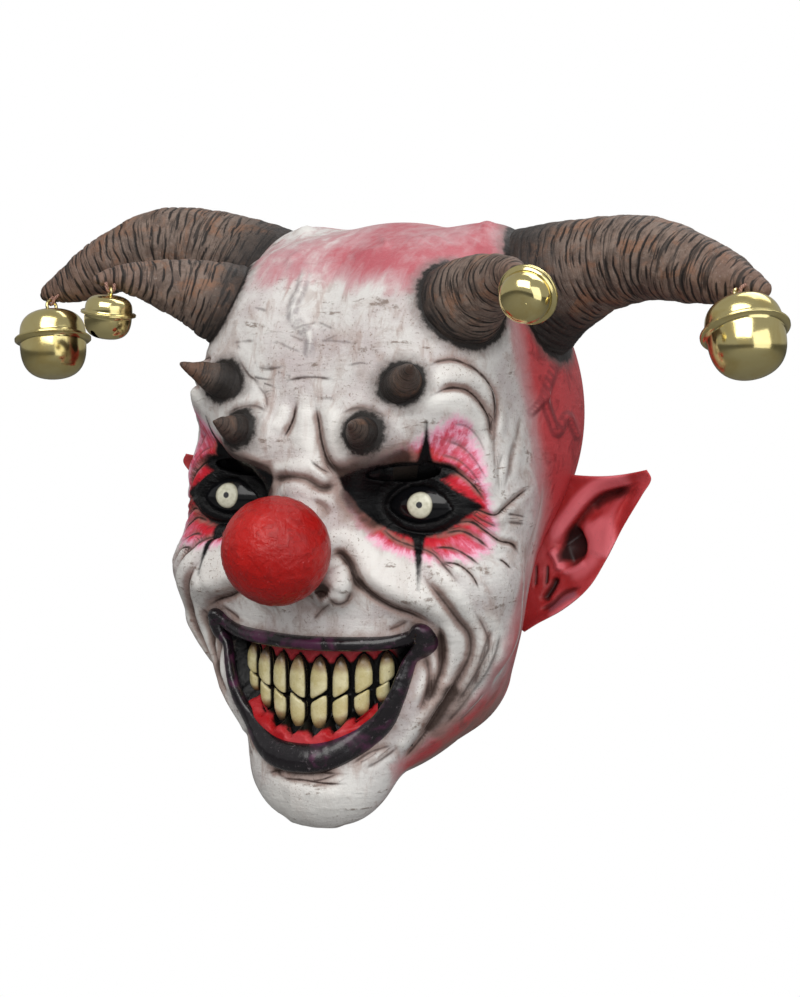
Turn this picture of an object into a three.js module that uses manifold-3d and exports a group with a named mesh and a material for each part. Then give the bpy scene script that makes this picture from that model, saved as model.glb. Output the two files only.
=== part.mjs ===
// Clown mask: an overhead latex mask of a horned jester with a ball nose, pointed ears,
// a toothed grin, four horns with brass jingle bells and four brow spikes.
// Millimetres, +Z up. The face looks along -Y and +X is the mask's own left side.
// The tables use face coordinates, whose heights are counted from the eye line, and the
// exported group lowers the whole mask so that the inside of the crown is its origin.

import * as THREE from 'three';
import { mergeVertices } from 'three/addons/utils/BufferGeometryUtils.js';
import Module from 'manifold-3d';

const wasm = await Module();
wasm.setup();

// Driving sizes
const WALL = 2.5;               // latex skin
const GAP = 0.35;               // between pieces that are glued or tied together
const CROWN_SEAT = 134;         // inside of the crown above the eye line
const MERGE_WITHIN = 1e-4;      // vertices of one geometry that count as one
const NOSE_RADIUS = 24;
const NOSE_CENTRE = [0, -122, -14];
const EYE_RADII = [22, 16, 13];
const EYE_CENTRE = [50, -66, 4];
const BALL_SIDES = 16;          // facets round the nose and the eyes
const BALL_RINGS = 11;
const BIG_BELL_RADIUS = 19;     // body of a 38 mm jingle bell
const SMALL_BELL_RADIUS = 12.5; // body of a 25 mm jingle bell

// Head form
// Smoothly joined ellipsoids. A pair row stands on both sides of the mid-plane, and a
// row with sign -1 is carved out of the rows above it.
const MASSES = [
  { name: 'cranium', pair: false, at: [0, 5, 42], radii: [88, 100, 95], blend: 0, sign: 1 },
  { name: 'forehead', pair: true, at: [38, -42, 80], radii: [34, 38, 38], blend: 30, sign: 1 },
  { name: 'horn_collar', pair: true, at: [50, 0, 108], radii: [24, 32, 27], blend: 18, sign: 1 },
  { name: 'face', pair: false, at: [0, -28, -35], radii: [76, 70, 92], blend: 25, sign: 1 },
  { name: 'orbit_side', pair: true, at: [64, -46, 9], radii: [26, 30, 38], blend: 18, sign: 1 },
  { name: 'cheekbone', pair: true, at: [52, -60, -30], radii: [38, 34, 26], blend: 14, sign: 1 },
  { name: 'smile_fold', pair: true, at: [60.5, -52, -53], radii: [25, 24, 26], blend: 14, sign: 1 },
  { name: 'jaw', pair: true, at: [31, -44, -82], radii: [29, 40, 26], blend: 22, sign: 1 },
  { name: 'neck', pair: false, at: [0, 10, -75], radii: [50, 62, 95], blend: 25, sign: 1 },
  { name: 'muzzle', pair: false, at: [0, -58, -80], radii: [58, 41, 50], blend: 14, sign: 1 },
  { name: 'chin', pair: false, at: [0, -81, -120.5], radii: [38, 23, 28], blend: 16, sign: 1 },
  { name: 'brow_inner', pair: true, at: [29, -86, 35], radii: [18, 17, 15], blend: 12, sign: 1 },
  { name: 'brow_outer', pair: true, at: [50, -70, 52], radii: [21, 20, 19], blend: 16, sign: 1 },
  { name: 'nose_bridge', pair: false, at: [0, -86, 4], radii: [12, 16, 30], blend: 10, sign: 1 },
  { name: 'nose_bulb', pair: false, at: [0, -96, -18], radii: [16, 18, 18], blend: 10, sign: 1 },
  { name: 'nose_wing', pair: true, at: [15, -95, -32], radii: [10, 12, 10], blend: 6, sign: 1 },
  { name: 'socket', pair: true, at: [50, -100, 6], radii: [27, 31, 17], blend: 7, sign: -1 },
  { name: 'temple', pair: true, at: [121, -62, 40], radii: [30, 50, 50], blend: 25, sign: -1 },
];

// The grin is a pocket with a straight top and a round bottom, as deep as its floor.
const GRIN = { top: -58, halfWidth: 49, drop: 46, blend: 4 };
const GRIN_FLOOR = { at: [0, -56, -80], radii: [50, 31, 48] };

// The skin is a net of rays from one point inside the head.
const NET = { from: [0, -5, -20], columns: 40, rows: 25, frontBias: 0.5, startRadius: 260 };
const NET_STEPS = 90;           // steps of the walk from outside to the skin
const NET_STEP_SHARE = 0.8;

// Height of the open neck rim, by depth from front to back
const RIM = [
  { y: -125, z: -160 },
  { y: -72, z: -152 },
  { y: -40, z: -110 },
  { y: 0, z: -99 },
  { y: 80, z: -78 },
];
const RIM_SEARCH = { from: 100, to: 172, halvings: 40 };  // polar angles in degrees

const SLIT = { x: 47, z: 19.5, width: 27, height: 7, yFrom: -125, yTo: -45, tilt: 4 };

// Horns: centre line and radius from inside the head to the tip. lift raises the copy on
// the mask's right, which arches higher.
const REAR_HORN = [
  { x: 50, y: 8, z: 90, radius: 38, lift: 0 },
  { x: 74, y: 5, z: 104, radius: 31, lift: 2 },
  { x: 104, y: -2, z: 114, radius: 23, lift: 8 },
  { x: 132, y: -10, z: 117, radius: 19.5, lift: 10 },
  { x: 158, y: -18, z: 112, radius: 16, lift: 7 },
  { x: 180, y: -25, z: 106, radius: 10.5, lift: 2 },
  { x: 197, y: -30, z: 101, radius: 3, lift: 0 },
];
const FRONT_HORN = [
  { x: 46, y: -44, z: 84, radius: 24, lift: 0 },
  { x: 63, y: -61, z: 96, radius: 20.5, lift: 0 },
  { x: 78, y: -71, z: 103, radius: 15.5, lift: 0 },
  { x: 92, y: -82, z: 107, radius: 10.5, lift: 0 },
  { x: 103, y: -94, z: 109, radius: 6, lift: 0 },
  { x: 111, y: -103, z: 108, radius: 2, lift: 0 },
];
const HORN_SIDES = { rear: 14, front: 12 };
const HORN_RINGS = { rear: 12, front: 9 };

const SPIKES = [
  { name: 'upper', from: [41, -80, 56], to: [60, -107, 69], radius: 11 },
  { name: 'lower', from: [31, -90, 36], to: [35, -118, 43], radius: 10 },
];
const SPIKE_PROFILE = [
  { along: 0, scale: 1 },
  { along: 0.45, scale: 0.72 },
  { along: 0.8, scale: 0.34 },
  { along: 1, scale: 0.07 },
];
const SPIKE_SIDES = 8;

// Ear sections from the lobe up: inner edge inside the head, outer edge, depth of each
// edge, and how far the middle of the section is hollowed to the back.
const EAR = [
  { z: -66, xIn: 58, xOut: 67, yIn: 14, yOut: 11, hollow: 1 },
  { z: -58, xIn: 56, xOut: 80, yIn: 16, yOut: 10, hollow: 3 },
  { z: -45, xIn: 56, xOut: 94, yIn: 18, yOut: 9, hollow: 6 },
  { z: -32, xIn: 60, xOut: 104, yIn: 20, yOut: 8, hollow: 9 },
  { z: -20, xIn: 64, xOut: 111, yIn: 22, yOut: 7, hollow: 11 },
  { z: -8, xIn: 68, xOut: 121, yIn: 24, yOut: 6, hollow: 11 },
  { z: 3, xIn: 72, xOut: 128, yIn: 26, yOut: 4, hollow: 9 },
  { z: 11, xIn: 74, xOut: 131.5, yIn: 28, yOut: 2, hollow: 6 },
  { z: 16, xIn: 96, xOut: 132, yIn: 18, yOut: 1, hollow: 2 },
];
const EAR_STEPS = 4;
const EAR_THICKNESS = { inner: 7, outer: 3.5 };

// Lip centre line round the grin, from the middle of the top to the middle of the bottom
const LIPS = [
  { x: 0, z: -58.3, half: 2.8, proud: 3.4 },
  { x: 20, z: -58, half: 2.8, proud: 3.4 },
  { x: 40, z: -56.4, half: 3, proud: 3.4 },
  { x: 53, z: -54.5, half: 4.6, proud: 4.4 },
  { x: 51, z: -66, half: 4, proud: 3.6 },
  { x: 46, z: -80, half: 4.4, proud: 3.8 },
  { x: 39, z: -93, half: 5.2, proud: 4.2 },
  { x: 27, z: -104, half: 6, proud: 4.8 },
  { x: 13, z: -110, half: 6.8, proud: 5.2 },
  { x: 0, z: -111.5, half: 7, proud: 5.4 },
];
const LIP_STEPS = 24;
const LIP_SIDES = 6;

// Dental arch: depth of the gums at the mid-plane, and how fast they turn back
const ARCH = { front: -91, turn: 0.0085, halfWidth: 45, top: -56, bottom: -107, depth: 11, steps: 8 };

// Teeth of one side from the middle outwards
const UPPER_TEETH = [
  { x: 5.4, width: 9.4, top: -62.5, bottom: -84 },
  { x: 15.4, width: 8.8, top: -62, bottom: -83 },
  { x: 25.2, width: 9, top: -61, bottom: -80.5 },
  { x: 34.4, width: 7.6, top: -60, bottom: -76.5 },
];
const LOWER_TEETH = [
  { x: 5.4, width: 9.4, top: -84.6, bottom: -101 },
  { x: 15.2, width: 8.6, top: -83.6, bottom: -98.5 },
  { x: 24.4, width: 8.4, top: -81.1, bottom: -93.5 },
  { x: 32.8, width: 7.2, top: -77.1, bottom: -87 },
];
const TOOTH_DEPTH = 4.6;
const TOOTH_PROFILE = [
  { along: 0, width: 0.6, depth: 0.7 },
  { along: 0.3, width: 0.95, depth: 0.95 },
  { along: 0.7, width: 1, depth: 1 },
  { along: 1, width: 0.62, depth: 0.75 },
];
const TOOTH_SECTION = [
  { across: -0.42, out: 0 },
  { across: -0.5, out: 0.5 },
  { across: -0.2, out: 1 },
  { across: 0.2, out: 1 },
  { across: 0.5, out: 0.5 },
  { across: 0.42, out: 0 },
];

// Bells: centre, direction from the slot to the loop, turn of the slot about it in degrees,
// and the point on the horn's centre line that the tie is tied to
const BELLS = [
  {
    name: 'rear_left', size: 'big', at: [192.1, -48.2, 82],
    axis: [-0.31, 0.385, 0.87], slotTurn: 31, tiedTo: [185.5, -26.7, 104.4],
  },
  {
    name: 'rear_right', size: 'big', at: [-181.2, -41.2, 77.1],
    axis: [-0.183, 0.204, 0.961], slotTurn: 31, tiedTo: [-184.5, -26.5, 105],
  },
  {
    name: 'front_left', size: 'small', at: [117.1, -113.8, 98.4],
    axis: [-0.03, 0.941, 0.327], slotTurn: 51, tiedTo: [108, -99.5, 108.4],
  },
  {
    name: 'front_right', size: 'small', at: [-104.9, -100, 89.5],
    axis: [0.15, -0.041, 0.988], slotTurn: 31, tiedTo: [-106, -97.5, 108.7],
  },
];
const BELL_SIZES = {
  big: { radius: BIG_BELL_RADIUS, wall: 0.9, sides: 12, loopRadius: 3, loopWire: 0.9, slot: 2.3 },
  small: { radius: SMALL_BELL_RADIUS, wall: 0.8, sides: 10, loopRadius: 1.9, loopWire: 0.7, slot: 1.6 },
};
const BELL_SQUASH = 0.9;        // height of a bell's body as a share of its width
const BELL_FLANGE = { proud: 0.8, halfHeight: 1.1 };
const BELL_ARC_STEPS = 3;       // facets from the flange to a pole
const SLOT_ENDS = 4.8;          // half length between the slot's round ends, in slot widths
const SLOT_END_RADIUS = 0.84;   // in slot widths
const SLOT_END_SIDES = 8;
const LOOP_FACETS = { wire: 5, ring: 8 };
const PELLET_SHARE = 0.3;       // pellet radius as a share of the bell's
const PELLET_HALVINGS = 12;     // of the search for its resting place
const TIE_RADIUS = 0.75;
const TIE_SIDES = 5;
const TIE_STEPS = 9;
const TIE_BEND = 0.7;           // share of the way round the loop's wire at half the bend

const MATERIALS = {
  skin: { color: 0xd9d0c6, roughness: 0.5, metalness: 0 },
  earSkin: { color: 0xb0262a, roughness: 0.45, metalness: 0 },
  nose: { color: 0xc02220, roughness: 0.35, metalness: 0 },
  lips: { color: 0x2a1a22, roughness: 0.25, metalness: 0 },
  gums: { color: 0x9c2430, roughness: 0.3, metalness: 0 },
  teeth: { color: 0xd6c48c, roughness: 0.3, metalness: 0 },
  eyes: { color: 0x14110f, roughness: 0.12, metalness: 0 },
  horn: { color: 0x6a4a38, roughness: 0.7, metalness: 0 },
  brass: { color: 0xd9b23a, roughness: 0.15, metalness: 1 },
  cord: { color: 0x8a5a4a, roughness: 0.9, metalness: 0 },
  steel: { color: 0x8c8c8c, roughness: 0.4, metalness: 1 },
};

// Closed meshes and booleans

function signedVolume(points, triangles) {
  let volume = 0;
  for (const [a, b, c] of triangles) {
    volume += points[a].dot(new THREE.Vector3().crossVectors(points[b], points[c])) / 6;
  }
  return volume;
}

// A manifold solid from a closed net of points, turned to face outwards
function solidFromNet(points, triangles) {
  const outward = signedVolume(points, triangles) > 0;
  const order = outward ? triangles : triangles.map(([a, b, c]) => [a, c, b]);
  return new wasm.Manifold(new wasm.Mesh({
    numProp: 3,
    vertProperties: new Float32Array(points.flatMap((p) => [p.x, p.y, p.z])),
    triVerts: new Uint32Array(order.flat()),
  }));
}

function solidFromGeometry(geometry) {
  const bare = geometry.clone();
  bare.deleteAttribute('normal');
  bare.deleteAttribute('uv');
  const merged = mergeVertices(bare, MERGE_WITHIN);
  const position = merged.attributes.position;
  const points = [];
  for (let i = 0; i < position.count; i += 1) {
    points.push(new THREE.Vector3().fromBufferAttribute(position, i));
  }
  const index = Array.from(merged.index.array);
  const triangles = [];
  for (let i = 0; i < index.length; i += 3) {
    const triangle = index.slice(i, i + 3);
    if (new Set(triangle).size === 3) triangles.push(triangle);
  }
  return solidFromNet(points, triangles);
}

function geometryFromSolid(solid) {
  const mesh = solid.getMesh();
  const geometry = new THREE.BufferGeometry();
  geometry.setAttribute('position', new THREE.BufferAttribute(mesh.vertProperties, 3));
  geometry.setIndex(new THREE.BufferAttribute(mesh.triVerts, 1));
  geometry.computeVertexNormals();
  return geometry;
}

// Rings of equal length joined in order, closed by a fan at each end or into a loop
function loft(rings, looped = false) {
  const sides = rings[0].length;
  const points = rings.flat();
  const triangles = [];
  const spans = looped ? rings.length : rings.length - 1;
  for (let r = 0; r < spans; r += 1) {
    const here = r * sides;
    const next = ((r + 1) % rings.length) * sides;
    for (let s = 0; s < sides; s += 1) {
      const t = (s + 1) % sides;
      triangles.push([here + s, here + t, next + t], [here + s, next + t, next + s]);
    }
  }
  if (!looped) {
    for (const [ring, flip] of [[0, true], [rings.length - 1, false]]) {
      const centre = new THREE.Vector3();
      rings[ring].forEach((p) => centre.addScaledVector(p, 1 / sides));
      points.push(centre);
      for (let s = 0; s < sides; s += 1) {
        const a = ring * sides + s;
        const b = ring * sides + (s + 1) % sides;
        triangles.push(flip ? [points.length - 1, b, a] : [points.length - 1, a, b]);
      }
    }
  }
  return solidFromNet(points, triangles);
}

const UPRIGHT = 0.9;            // directions steeper than this take Y as their reference

// A round ring of points about a centre, square to a direction
function ringAbout(centre, direction, radius, sides) {
  const upright = Math.abs(direction.z) > UPRIGHT;
  const reference = new THREE.Vector3(0, upright ? 1 : 0, upright ? 0 : 1);
  const across = new THREE.Vector3().crossVectors(reference, direction).normalize();
  const over = new THREE.Vector3().crossVectors(direction, across).normalize();
  return Array.from({ length: sides }, (_, s) => {
    const angle = (2 * Math.PI * s) / sides;
    return centre.clone()
      .addScaledVector(across, radius * Math.cos(angle))
      .addScaledVector(over, radius * Math.sin(angle));
  });
}

// Head field: distance to the skin, negative inside

function ellipsoidDistance(x, y, z, at, radii) {
  const qx = (x - at[0]) / radii[0];
  const qy = (y - at[1]) / radii[1];
  const qz = (z - at[2]) / radii[2];
  const k0 = Math.hypot(qx, qy, qz);
  const k1 = Math.hypot(qx / radii[0], qy / radii[1], qz / radii[2]);
  return (k0 * (k0 - 1)) / Math.max(k1, 1e-9);
}

function smoothMin(a, b, blend) {
  if (blend <= 0) return Math.min(a, b);
  const h = Math.max(blend - Math.abs(a - b), 0) / blend;
  return Math.min(a, b) - (h * h * blend) / 4;
}

function faceDistance(x, y, z) {
  let distance = Infinity;
  for (const { pair, at, radii, blend, sign } of MASSES) {
    const mass = ellipsoidDistance(pair ? Math.abs(x) : x, y, z, at, radii);
    if (distance === Infinity) distance = mass;
    else if (sign > 0) distance = smoothMin(distance, mass, blend);
    else distance = -smoothMin(-distance, mass, blend);
  }
  return distance;
}

function grinPocketDistance(x, y, z) {
  const bowl = ellipsoidDistance(x, 0, z, [0, 0, GRIN.top], [GRIN.halfWidth, 1, GRIN.drop]);
  const outline = Math.max(bowl, z - GRIN.top);
  const floor = ellipsoidDistance(x, y, z, GRIN_FLOOR.at, GRIN_FLOOR.radii);
  return Math.max(outline, -floor, y - GRIN_FLOOR.at[1]);
}

function headDistance(x, y, z) {
  return -smoothMin(-faceDistance(x, y, z), grinPocketDistance(x, y, z), GRIN.blend);
}

// Skin net

function rayDirection(theta, phi) {
  return new THREE.Vector3(
    Math.sin(phi) * Math.sin(theta),
    -Math.sin(phi) * Math.cos(theta),
    Math.cos(phi),
  );
}

// First point of the skin, grown outwards by level, met by a walk towards the net's centre
function skinPoint(direction, level) {
  const [cx, cy, cz] = NET.from;
  let radius = NET.startRadius;
  for (let step = 0; step < NET_STEPS; step += 1) {
    const distance = headDistance(
      cx + direction.x * radius,
      cy + direction.y * radius,
      cz + direction.z * radius,
    ) - level;
    radius -= NET_STEP_SHARE * Math.max(distance, 0);
  }
  return new THREE.Vector3(cx, cy, cz).addScaledVector(direction, radius);
}

function rimHeight(y) {
  const last = RIM.length - 1;
  if (y <= RIM[0].y) return RIM[0].z;
  if (y >= RIM[last].y) return RIM[last].z;
  const above = RIM.findIndex((row) => row.y > y);
  const a = RIM[above - 1];
  const b = RIM[above];
  return a.z + ((b.z - a.z) * (y - a.y)) / (b.y - a.y);
}

function rimAngle(theta) {
  let low = THREE.MathUtils.degToRad(RIM_SEARCH.from);
  let high = THREE.MathUtils.degToRad(RIM_SEARCH.to);
  for (let i = 0; i < RIM_SEARCH.halvings; i += 1) {
    const middle = (low + high) / 2;
    const point = skinPoint(rayDirection(theta, middle), 0);
    if (point.z > rimHeight(point.y)) low = middle;
    else high = middle;
  }
  return low;
}

const netColumns = Array.from({ length: NET.columns }, (_, c) => {
  const share = (2 * c) / NET.columns - 1;
  return Math.PI * (share - (NET.frontBias * Math.sin(Math.PI * share)) / Math.PI);
});
const netRims = netColumns.map(rimAngle);

// Points of one skin level: the crown first, then row after row down to the rim
function skinLevel(level) {
  const points = [skinPoint(rayDirection(0, 0), level)];
  for (let r = 1; r <= NET.rows; r += 1) {
    netColumns.forEach((theta, c) => {
      points.push(skinPoint(rayDirection(theta, (netRims[c] * r) / NET.rows), level));
    });
  }
  return points;
}

function skinTriangles(offset = 0) {
  const triangles = [];
  const at = (r, c) => offset + 1 + (r - 1) * NET.columns + (c % NET.columns);
  for (let c = 0; c < NET.columns; c += 1) {
    triangles.push([offset, at(1, c), at(1, c + 1)]);
    for (let r = 1; r < NET.rows; r += 1) {
      triangles.push([at(r, c), at(r + 1, c), at(r + 1, c + 1)]);
      triangles.push([at(r, c), at(r + 1, c + 1), at(r, c + 1)]);
    }
  }
  return triangles;
}

// Two skin levels joined at the rim
function hollowHead() {
  const outer = skinLevel(0);
  const inner = skinLevel(-WALL);
  const flipped = skinTriangles(outer.length).map(([a, b, c]) => [a, c, b]);
  const triangles = [...skinTriangles(), ...flipped];
  const rim = outer.length - NET.columns;
  for (let c = 0; c < NET.columns; c += 1) {
    const d = (c + 1) % NET.columns;
    const innerRim = rim + outer.length;
    triangles.push([rim + c, innerRim + c, innerRim + d], [rim + c, innerRim + d, rim + d]);
  }
  return solidFromNet([...outer, ...inner], triangles);
}

// One skin level closed across the rim, for cutting seats
function filledHead(level) {
  const points = skinLevel(level);
  const triangles = skinTriangles();
  const rim = points.length - NET.columns;
  const centre = new THREE.Vector3();
  points.slice(rim).forEach((p) => centre.addScaledVector(p, 1 / NET.columns));
  points.push(centre);
  for (let c = 0; c < NET.columns; c += 1) {
    triangles.push([points.length - 1, rim + ((c + 1) % NET.columns), rim + c]);
  }
  return solidFromNet(points, triangles);
}

const seat = filledHead(GAP);
const seated = (solid) => solid.subtract(seat);

// Depth of the face without its grin, straight behind a place in front of it
function faceFront(x, z) {
  let y = -NET.startRadius;
  for (let step = 0; step < NET_STEPS; step += 1) {
    y += NET_STEP_SHARE * Math.max(faceDistance(x, y, z), 0);
  }
  return y;
}

// Pieces

function faceShell() {
  let shell = hollowHead();
  for (const side of [1, -1]) {
    const slit = new THREE.BoxGeometry(SLIT.width, SLIT.yTo - SLIT.yFrom, SLIT.height);
    slit.rotateY(-side * THREE.MathUtils.degToRad(SLIT.tilt));
    slit.translate(side * SLIT.x, (SLIT.yFrom + SLIT.yTo) / 2, SLIT.z);
    shell = shell.subtract(solidFromGeometry(slit));
  }
  return shell;
}

function horn(rows, side, rings, sides, grown = 0) {
  const lift = (row) => (side < 0 ? row.lift : 0);
  const line = new THREE.CatmullRomCurve3(
    rows.map((row) => new THREE.Vector3(side * row.x, row.y, row.z + lift(row))),
  );
  const radii = new THREE.CatmullRomCurve3(rows.map((row, i) => new THREE.Vector3(row.radius, i, 0)));
  const stations = Array.from({ length: rings }, (_, r) => r / (rings - 1));
  return loft(stations.map((t) => ringAbout(
    line.getPoint(t),
    line.getTangent(t),
    radii.getPoint(t).x + grown,
    sides,
  )));
}

function spike({ from, to, radius }, side) {
  const start = new THREE.Vector3(side * from[0], from[1], from[2]);
  const end = new THREE.Vector3(side * to[0], to[1], to[2]);
  const direction = end.clone().sub(start).normalize();
  return seated(loft(SPIKE_PROFILE.map(({ along, scale }) => ringAbout(
    start.clone().lerp(end, along),
    direction,
    radius * scale,
    SPIKE_SIDES,
  ))));
}

// A cupped blade: each section runs out along its front face and back along its rear face
function ear(side) {
  const rings = EAR.map(({ z, xIn, xOut, yIn, yOut, hollow }) => {
    const front = [];
    const rear = [];
    for (let i = 0; i <= EAR_STEPS; i += 1) {
      const out = i / EAR_STEPS;
      const x = side * THREE.MathUtils.lerp(xIn, xOut, out);
      const y = THREE.MathUtils.lerp(yIn, yOut, out) + hollow * Math.sin(Math.PI * out);
      const thick = THREE.MathUtils.lerp(EAR_THICKNESS.inner, EAR_THICKNESS.outer, out);
      front.push(new THREE.Vector3(x, y, z));
      rear.unshift(new THREE.Vector3(x, y + thick, z));
    }
    return [...front, ...rear];
  });
  return seated(loft(rings));
}

function eye(side) {
  const ball = new THREE.SphereGeometry(1, BALL_SIDES, BALL_RINGS).scale(...EYE_RADII);
  ball.translate(side * EYE_CENTRE[0], EYE_CENTRE[1], EYE_CENTRE[2]);
  return seated(solidFromGeometry(ball));
}

function noseBall() {
  const ball = new THREE.SphereGeometry(NOSE_RADIUS, BALL_SIDES, BALL_RINGS).translate(...NOSE_CENTRE);
  return seated(solidFromGeometry(ball));
}

// A closed roll along the lip line, half sunk in the skin
function lips() {
  const right = LIPS.slice(1, -1).reverse().map((row) => ({ ...row, x: -row.x }));
  const rows = [...LIPS, ...right];
  const loop = (pick) => new THREE.CatmullRomCurve3(rows.map(pick), true);
  const line = loop(({ x, z }) => new THREE.Vector3(x, 0, z));
  const sizes = loop(({ half, proud }) => new THREE.Vector3(half, proud, 0));
  const rings = Array.from({ length: LIP_STEPS }, (_, i) => {
    const t = i / LIP_STEPS;
    const at = line.getPoint(t);
    const along = line.getTangent(t);
    const size = sizes.getPoint(t);
    const inwards = new THREE.Vector3(along.z, 0, -along.x);
    return Array.from({ length: LIP_SIDES }, (_unused, s) => {
      const angle = (2 * Math.PI * s) / LIP_SIDES;
      const point = at.clone().addScaledVector(inwards, size.x * Math.cos(angle));
      point.y = faceFront(point.x, point.z) - size.y * Math.sin(angle);
      return point;
    });
  });
  return seated(loft(rings, true));
}

const archDepth = (x) => ARCH.front + ARCH.turn * x * x;

function gums() {
  const outline = [];
  for (let i = 0; i <= ARCH.steps; i += 1) {
    const x = ARCH.halfWidth * ((2 * i) / ARCH.steps - 1);
    outline.push(new THREE.Vector2(x, archDepth(x)));
  }
  const back = outline.map((p) => new THREE.Vector2(p.x, p.y + ARCH.depth)).reverse();
  const block = new THREE.ExtrudeGeometry(new THREE.Shape([...outline, ...back]), {
    depth: ARCH.top - ARCH.bottom,
    bevelEnabled: false,
  });
  return seated(solidFromGeometry(block.translate(0, 0, ARCH.bottom)));
}

// rootAtTop turns the narrow end of the profile to the upper or the lower gum
function tooth({ x, width, top, bottom }, side, rootAtTop) {
  const slope = 2 * ARCH.turn * x;
  const along = new THREE.Vector3(1, slope, 0).normalize();
  const outwards = new THREE.Vector3(slope, -1, 0).normalize();
  const foot = new THREE.Vector3(x, archDepth(x), 0).addScaledVector(outwards, GAP);
  const rings = TOOTH_PROFILE.map((profile) => {
    const down = rootAtTop ? profile.along : 1 - profile.along;
    return TOOTH_SECTION.map(({ across, out }) => {
      const point = foot.clone()
        .addScaledVector(along, across * width * profile.width)
        .addScaledVector(outwards, out * TOOTH_DEPTH * profile.depth);
      point.z = THREE.MathUtils.lerp(top, bottom, down);
      point.x *= side;
      return point;
    });
  });
  return seated(loft(rings));
}

// Height of the loop's centre above the bell's
function loopHeight(size) {
  const { radius, wall, loopRadius } = BELL_SIZES[size];
  return BELL_SQUASH * radius + loopRadius - wall / 2;
}

// A hollow bell shell with its flange, wire loop and bone-shaped slot
function bell(row) {
  const { size, slotTurn } = row;
  const { radius, wall, sides, loopRadius, loopWire, slot } = BELL_SIZES[size];
  const profile = [];
  const arc = (r, from, to) => {
    for (let i = 0; i <= BELL_ARC_STEPS; i += 1) {
      const angle = THREE.MathUtils.lerp(from, to, i / BELL_ARC_STEPS);
      profile.push(new THREE.Vector2(r * Math.cos(angle), r * Math.sin(angle)));
    }
  };
  const quarter = Math.PI / 2;
  const lipAngle = Math.asin(BELL_FLANGE.halfHeight / radius);
  arc(radius, -quarter, -lipAngle);
  profile.push(new THREE.Vector2(radius + BELL_FLANGE.proud, -BELL_FLANGE.halfHeight));
  profile.push(new THREE.Vector2(radius + BELL_FLANGE.proud, BELL_FLANGE.halfHeight));
  arc(radius, lipAngle, quarter);
  profile.forEach((p) => { if (p.x < 1e-6) p.x = 0; });
  const body = new THREE.LatheGeometry(profile, sides).rotateX(quarter).scale(1, 1, BELL_SQUASH);
  const outer = solidFromGeometry(body);
  const ball = new THREE.SphereGeometry(radius - wall, sides, 2 * BELL_ARC_STEPS);
  const hollow = solidFromGeometry(ball.rotateX(quarter).scale(1, 1, BELL_SQUASH));
  const half = SLOT_ENDS * slot;
  const endRadius = SLOT_END_RADIUS * slot;
  const turn = THREE.MathUtils.degToRad(slotTurn);
  const bar = new THREE.BoxGeometry(2 * half, slot, radius).translate(0, 0, -radius).rotateZ(turn);
  let shell = outer.subtract(hollow).subtract(solidFromGeometry(bar));
  for (const end of [-half, half]) {
    const round = new THREE.CylinderGeometry(endRadius, endRadius, radius, SLOT_END_SIDES);
    round.rotateX(quarter).translate(end, 0, -radius).rotateZ(turn);
    shell = shell.subtract(solidFromGeometry(round));
  }
  const ring = new THREE.TorusGeometry(loopRadius, loopWire, LOOP_FACETS.wire, LOOP_FACETS.ring);
  ring.rotateX(quarter).rotateZ(quarter);
  const loop = solidFromGeometry(ring.translate(0, 0, loopHeight(size)));
  const whole = shell.add(loop.subtract(hollow));
  return whole.transform(bellFrame(row).toArray());
}

// Frame with Z along the bell's axis and X through its loop, square to the pull of the tie
function bellFrame({ at, axis, tiedTo }) {
  const centre = new THREE.Vector3(...at);
  const z = new THREE.Vector3(...axis).normalize();
  const pull = new THREE.Vector3(...tiedTo).sub(centre);
  const x = new THREE.Vector3().crossVectors(z, pull).normalize();
  const y = new THREE.Vector3().crossVectors(z, x);
  return new THREE.Matrix4().makeBasis(x, y, z).setPosition(centre);
}

// A doubled strand from the horn, under the top of the bell's loop and back
function tie(row, grownHorn) {
  const { size, tiedTo } = row;
  const { loopRadius, loopWire } = BELL_SIZES[size];
  const frame = bellFrame(row);
  const reach = loopWire + TIE_RADIUS + GAP;
  const crown = loopHeight(size) + loopRadius;
  const spot = (x, z) => new THREE.Vector3(x, 0, z).applyMatrix4(frame);
  const anchor = new THREE.Vector3(...tiedTo);
  const aside = spot(1, 0).sub(spot(0, 0)).multiplyScalar(reach);
  const route = [
    anchor.clone().add(aside),
    spot(reach, crown),
    spot(reach * TIE_BEND, crown - reach * TIE_BEND),
    spot(0, crown - reach),
    spot(-reach * TIE_BEND, crown - reach * TIE_BEND),
    spot(-reach, crown),
    anchor.clone().sub(aside),
  ];
  const line = new THREE.CatmullRomCurve3(route, false, 'centripetal');
  const stations = Array.from({ length: TIE_STEPS + 1 }, (_, i) => i / TIE_STEPS);
  const strand = loft(stations.map((t) => {
    const direction = line.getTangent(t);
    return ringAbout(line.getPoint(t), direction, TIE_RADIUS, TIE_SIDES);
  }));
  return strand.subtract(grownHorn);
}

// The loose pellet lies on the wall straight below the bell's centre
function pellet({ at, size }, bellSolid) {
  const radius = PELLET_SHARE * BELL_SIZES[size].radius;
  const ball = (grown, drop) => {
    const round = new THREE.OctahedronGeometry(radius + grown, 1);
    return solidFromGeometry(round.translate(at[0], at[1], at[2] - drop));
  };
  let clear = 0;
  let touching = BELL_SIZES[size].radius;
  for (let i = 0; i < PELLET_HALVINGS; i += 1) {
    const middle = (clear + touching) / 2;
    if (ball(GAP, middle).intersect(bellSolid).isEmpty()) clear = middle;
    else touching = middle;
  }
  return ball(0, clear);
}

// Assembly

const mask = new THREE.Group();
mask.position.z = -CROWN_SEAT;

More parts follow.
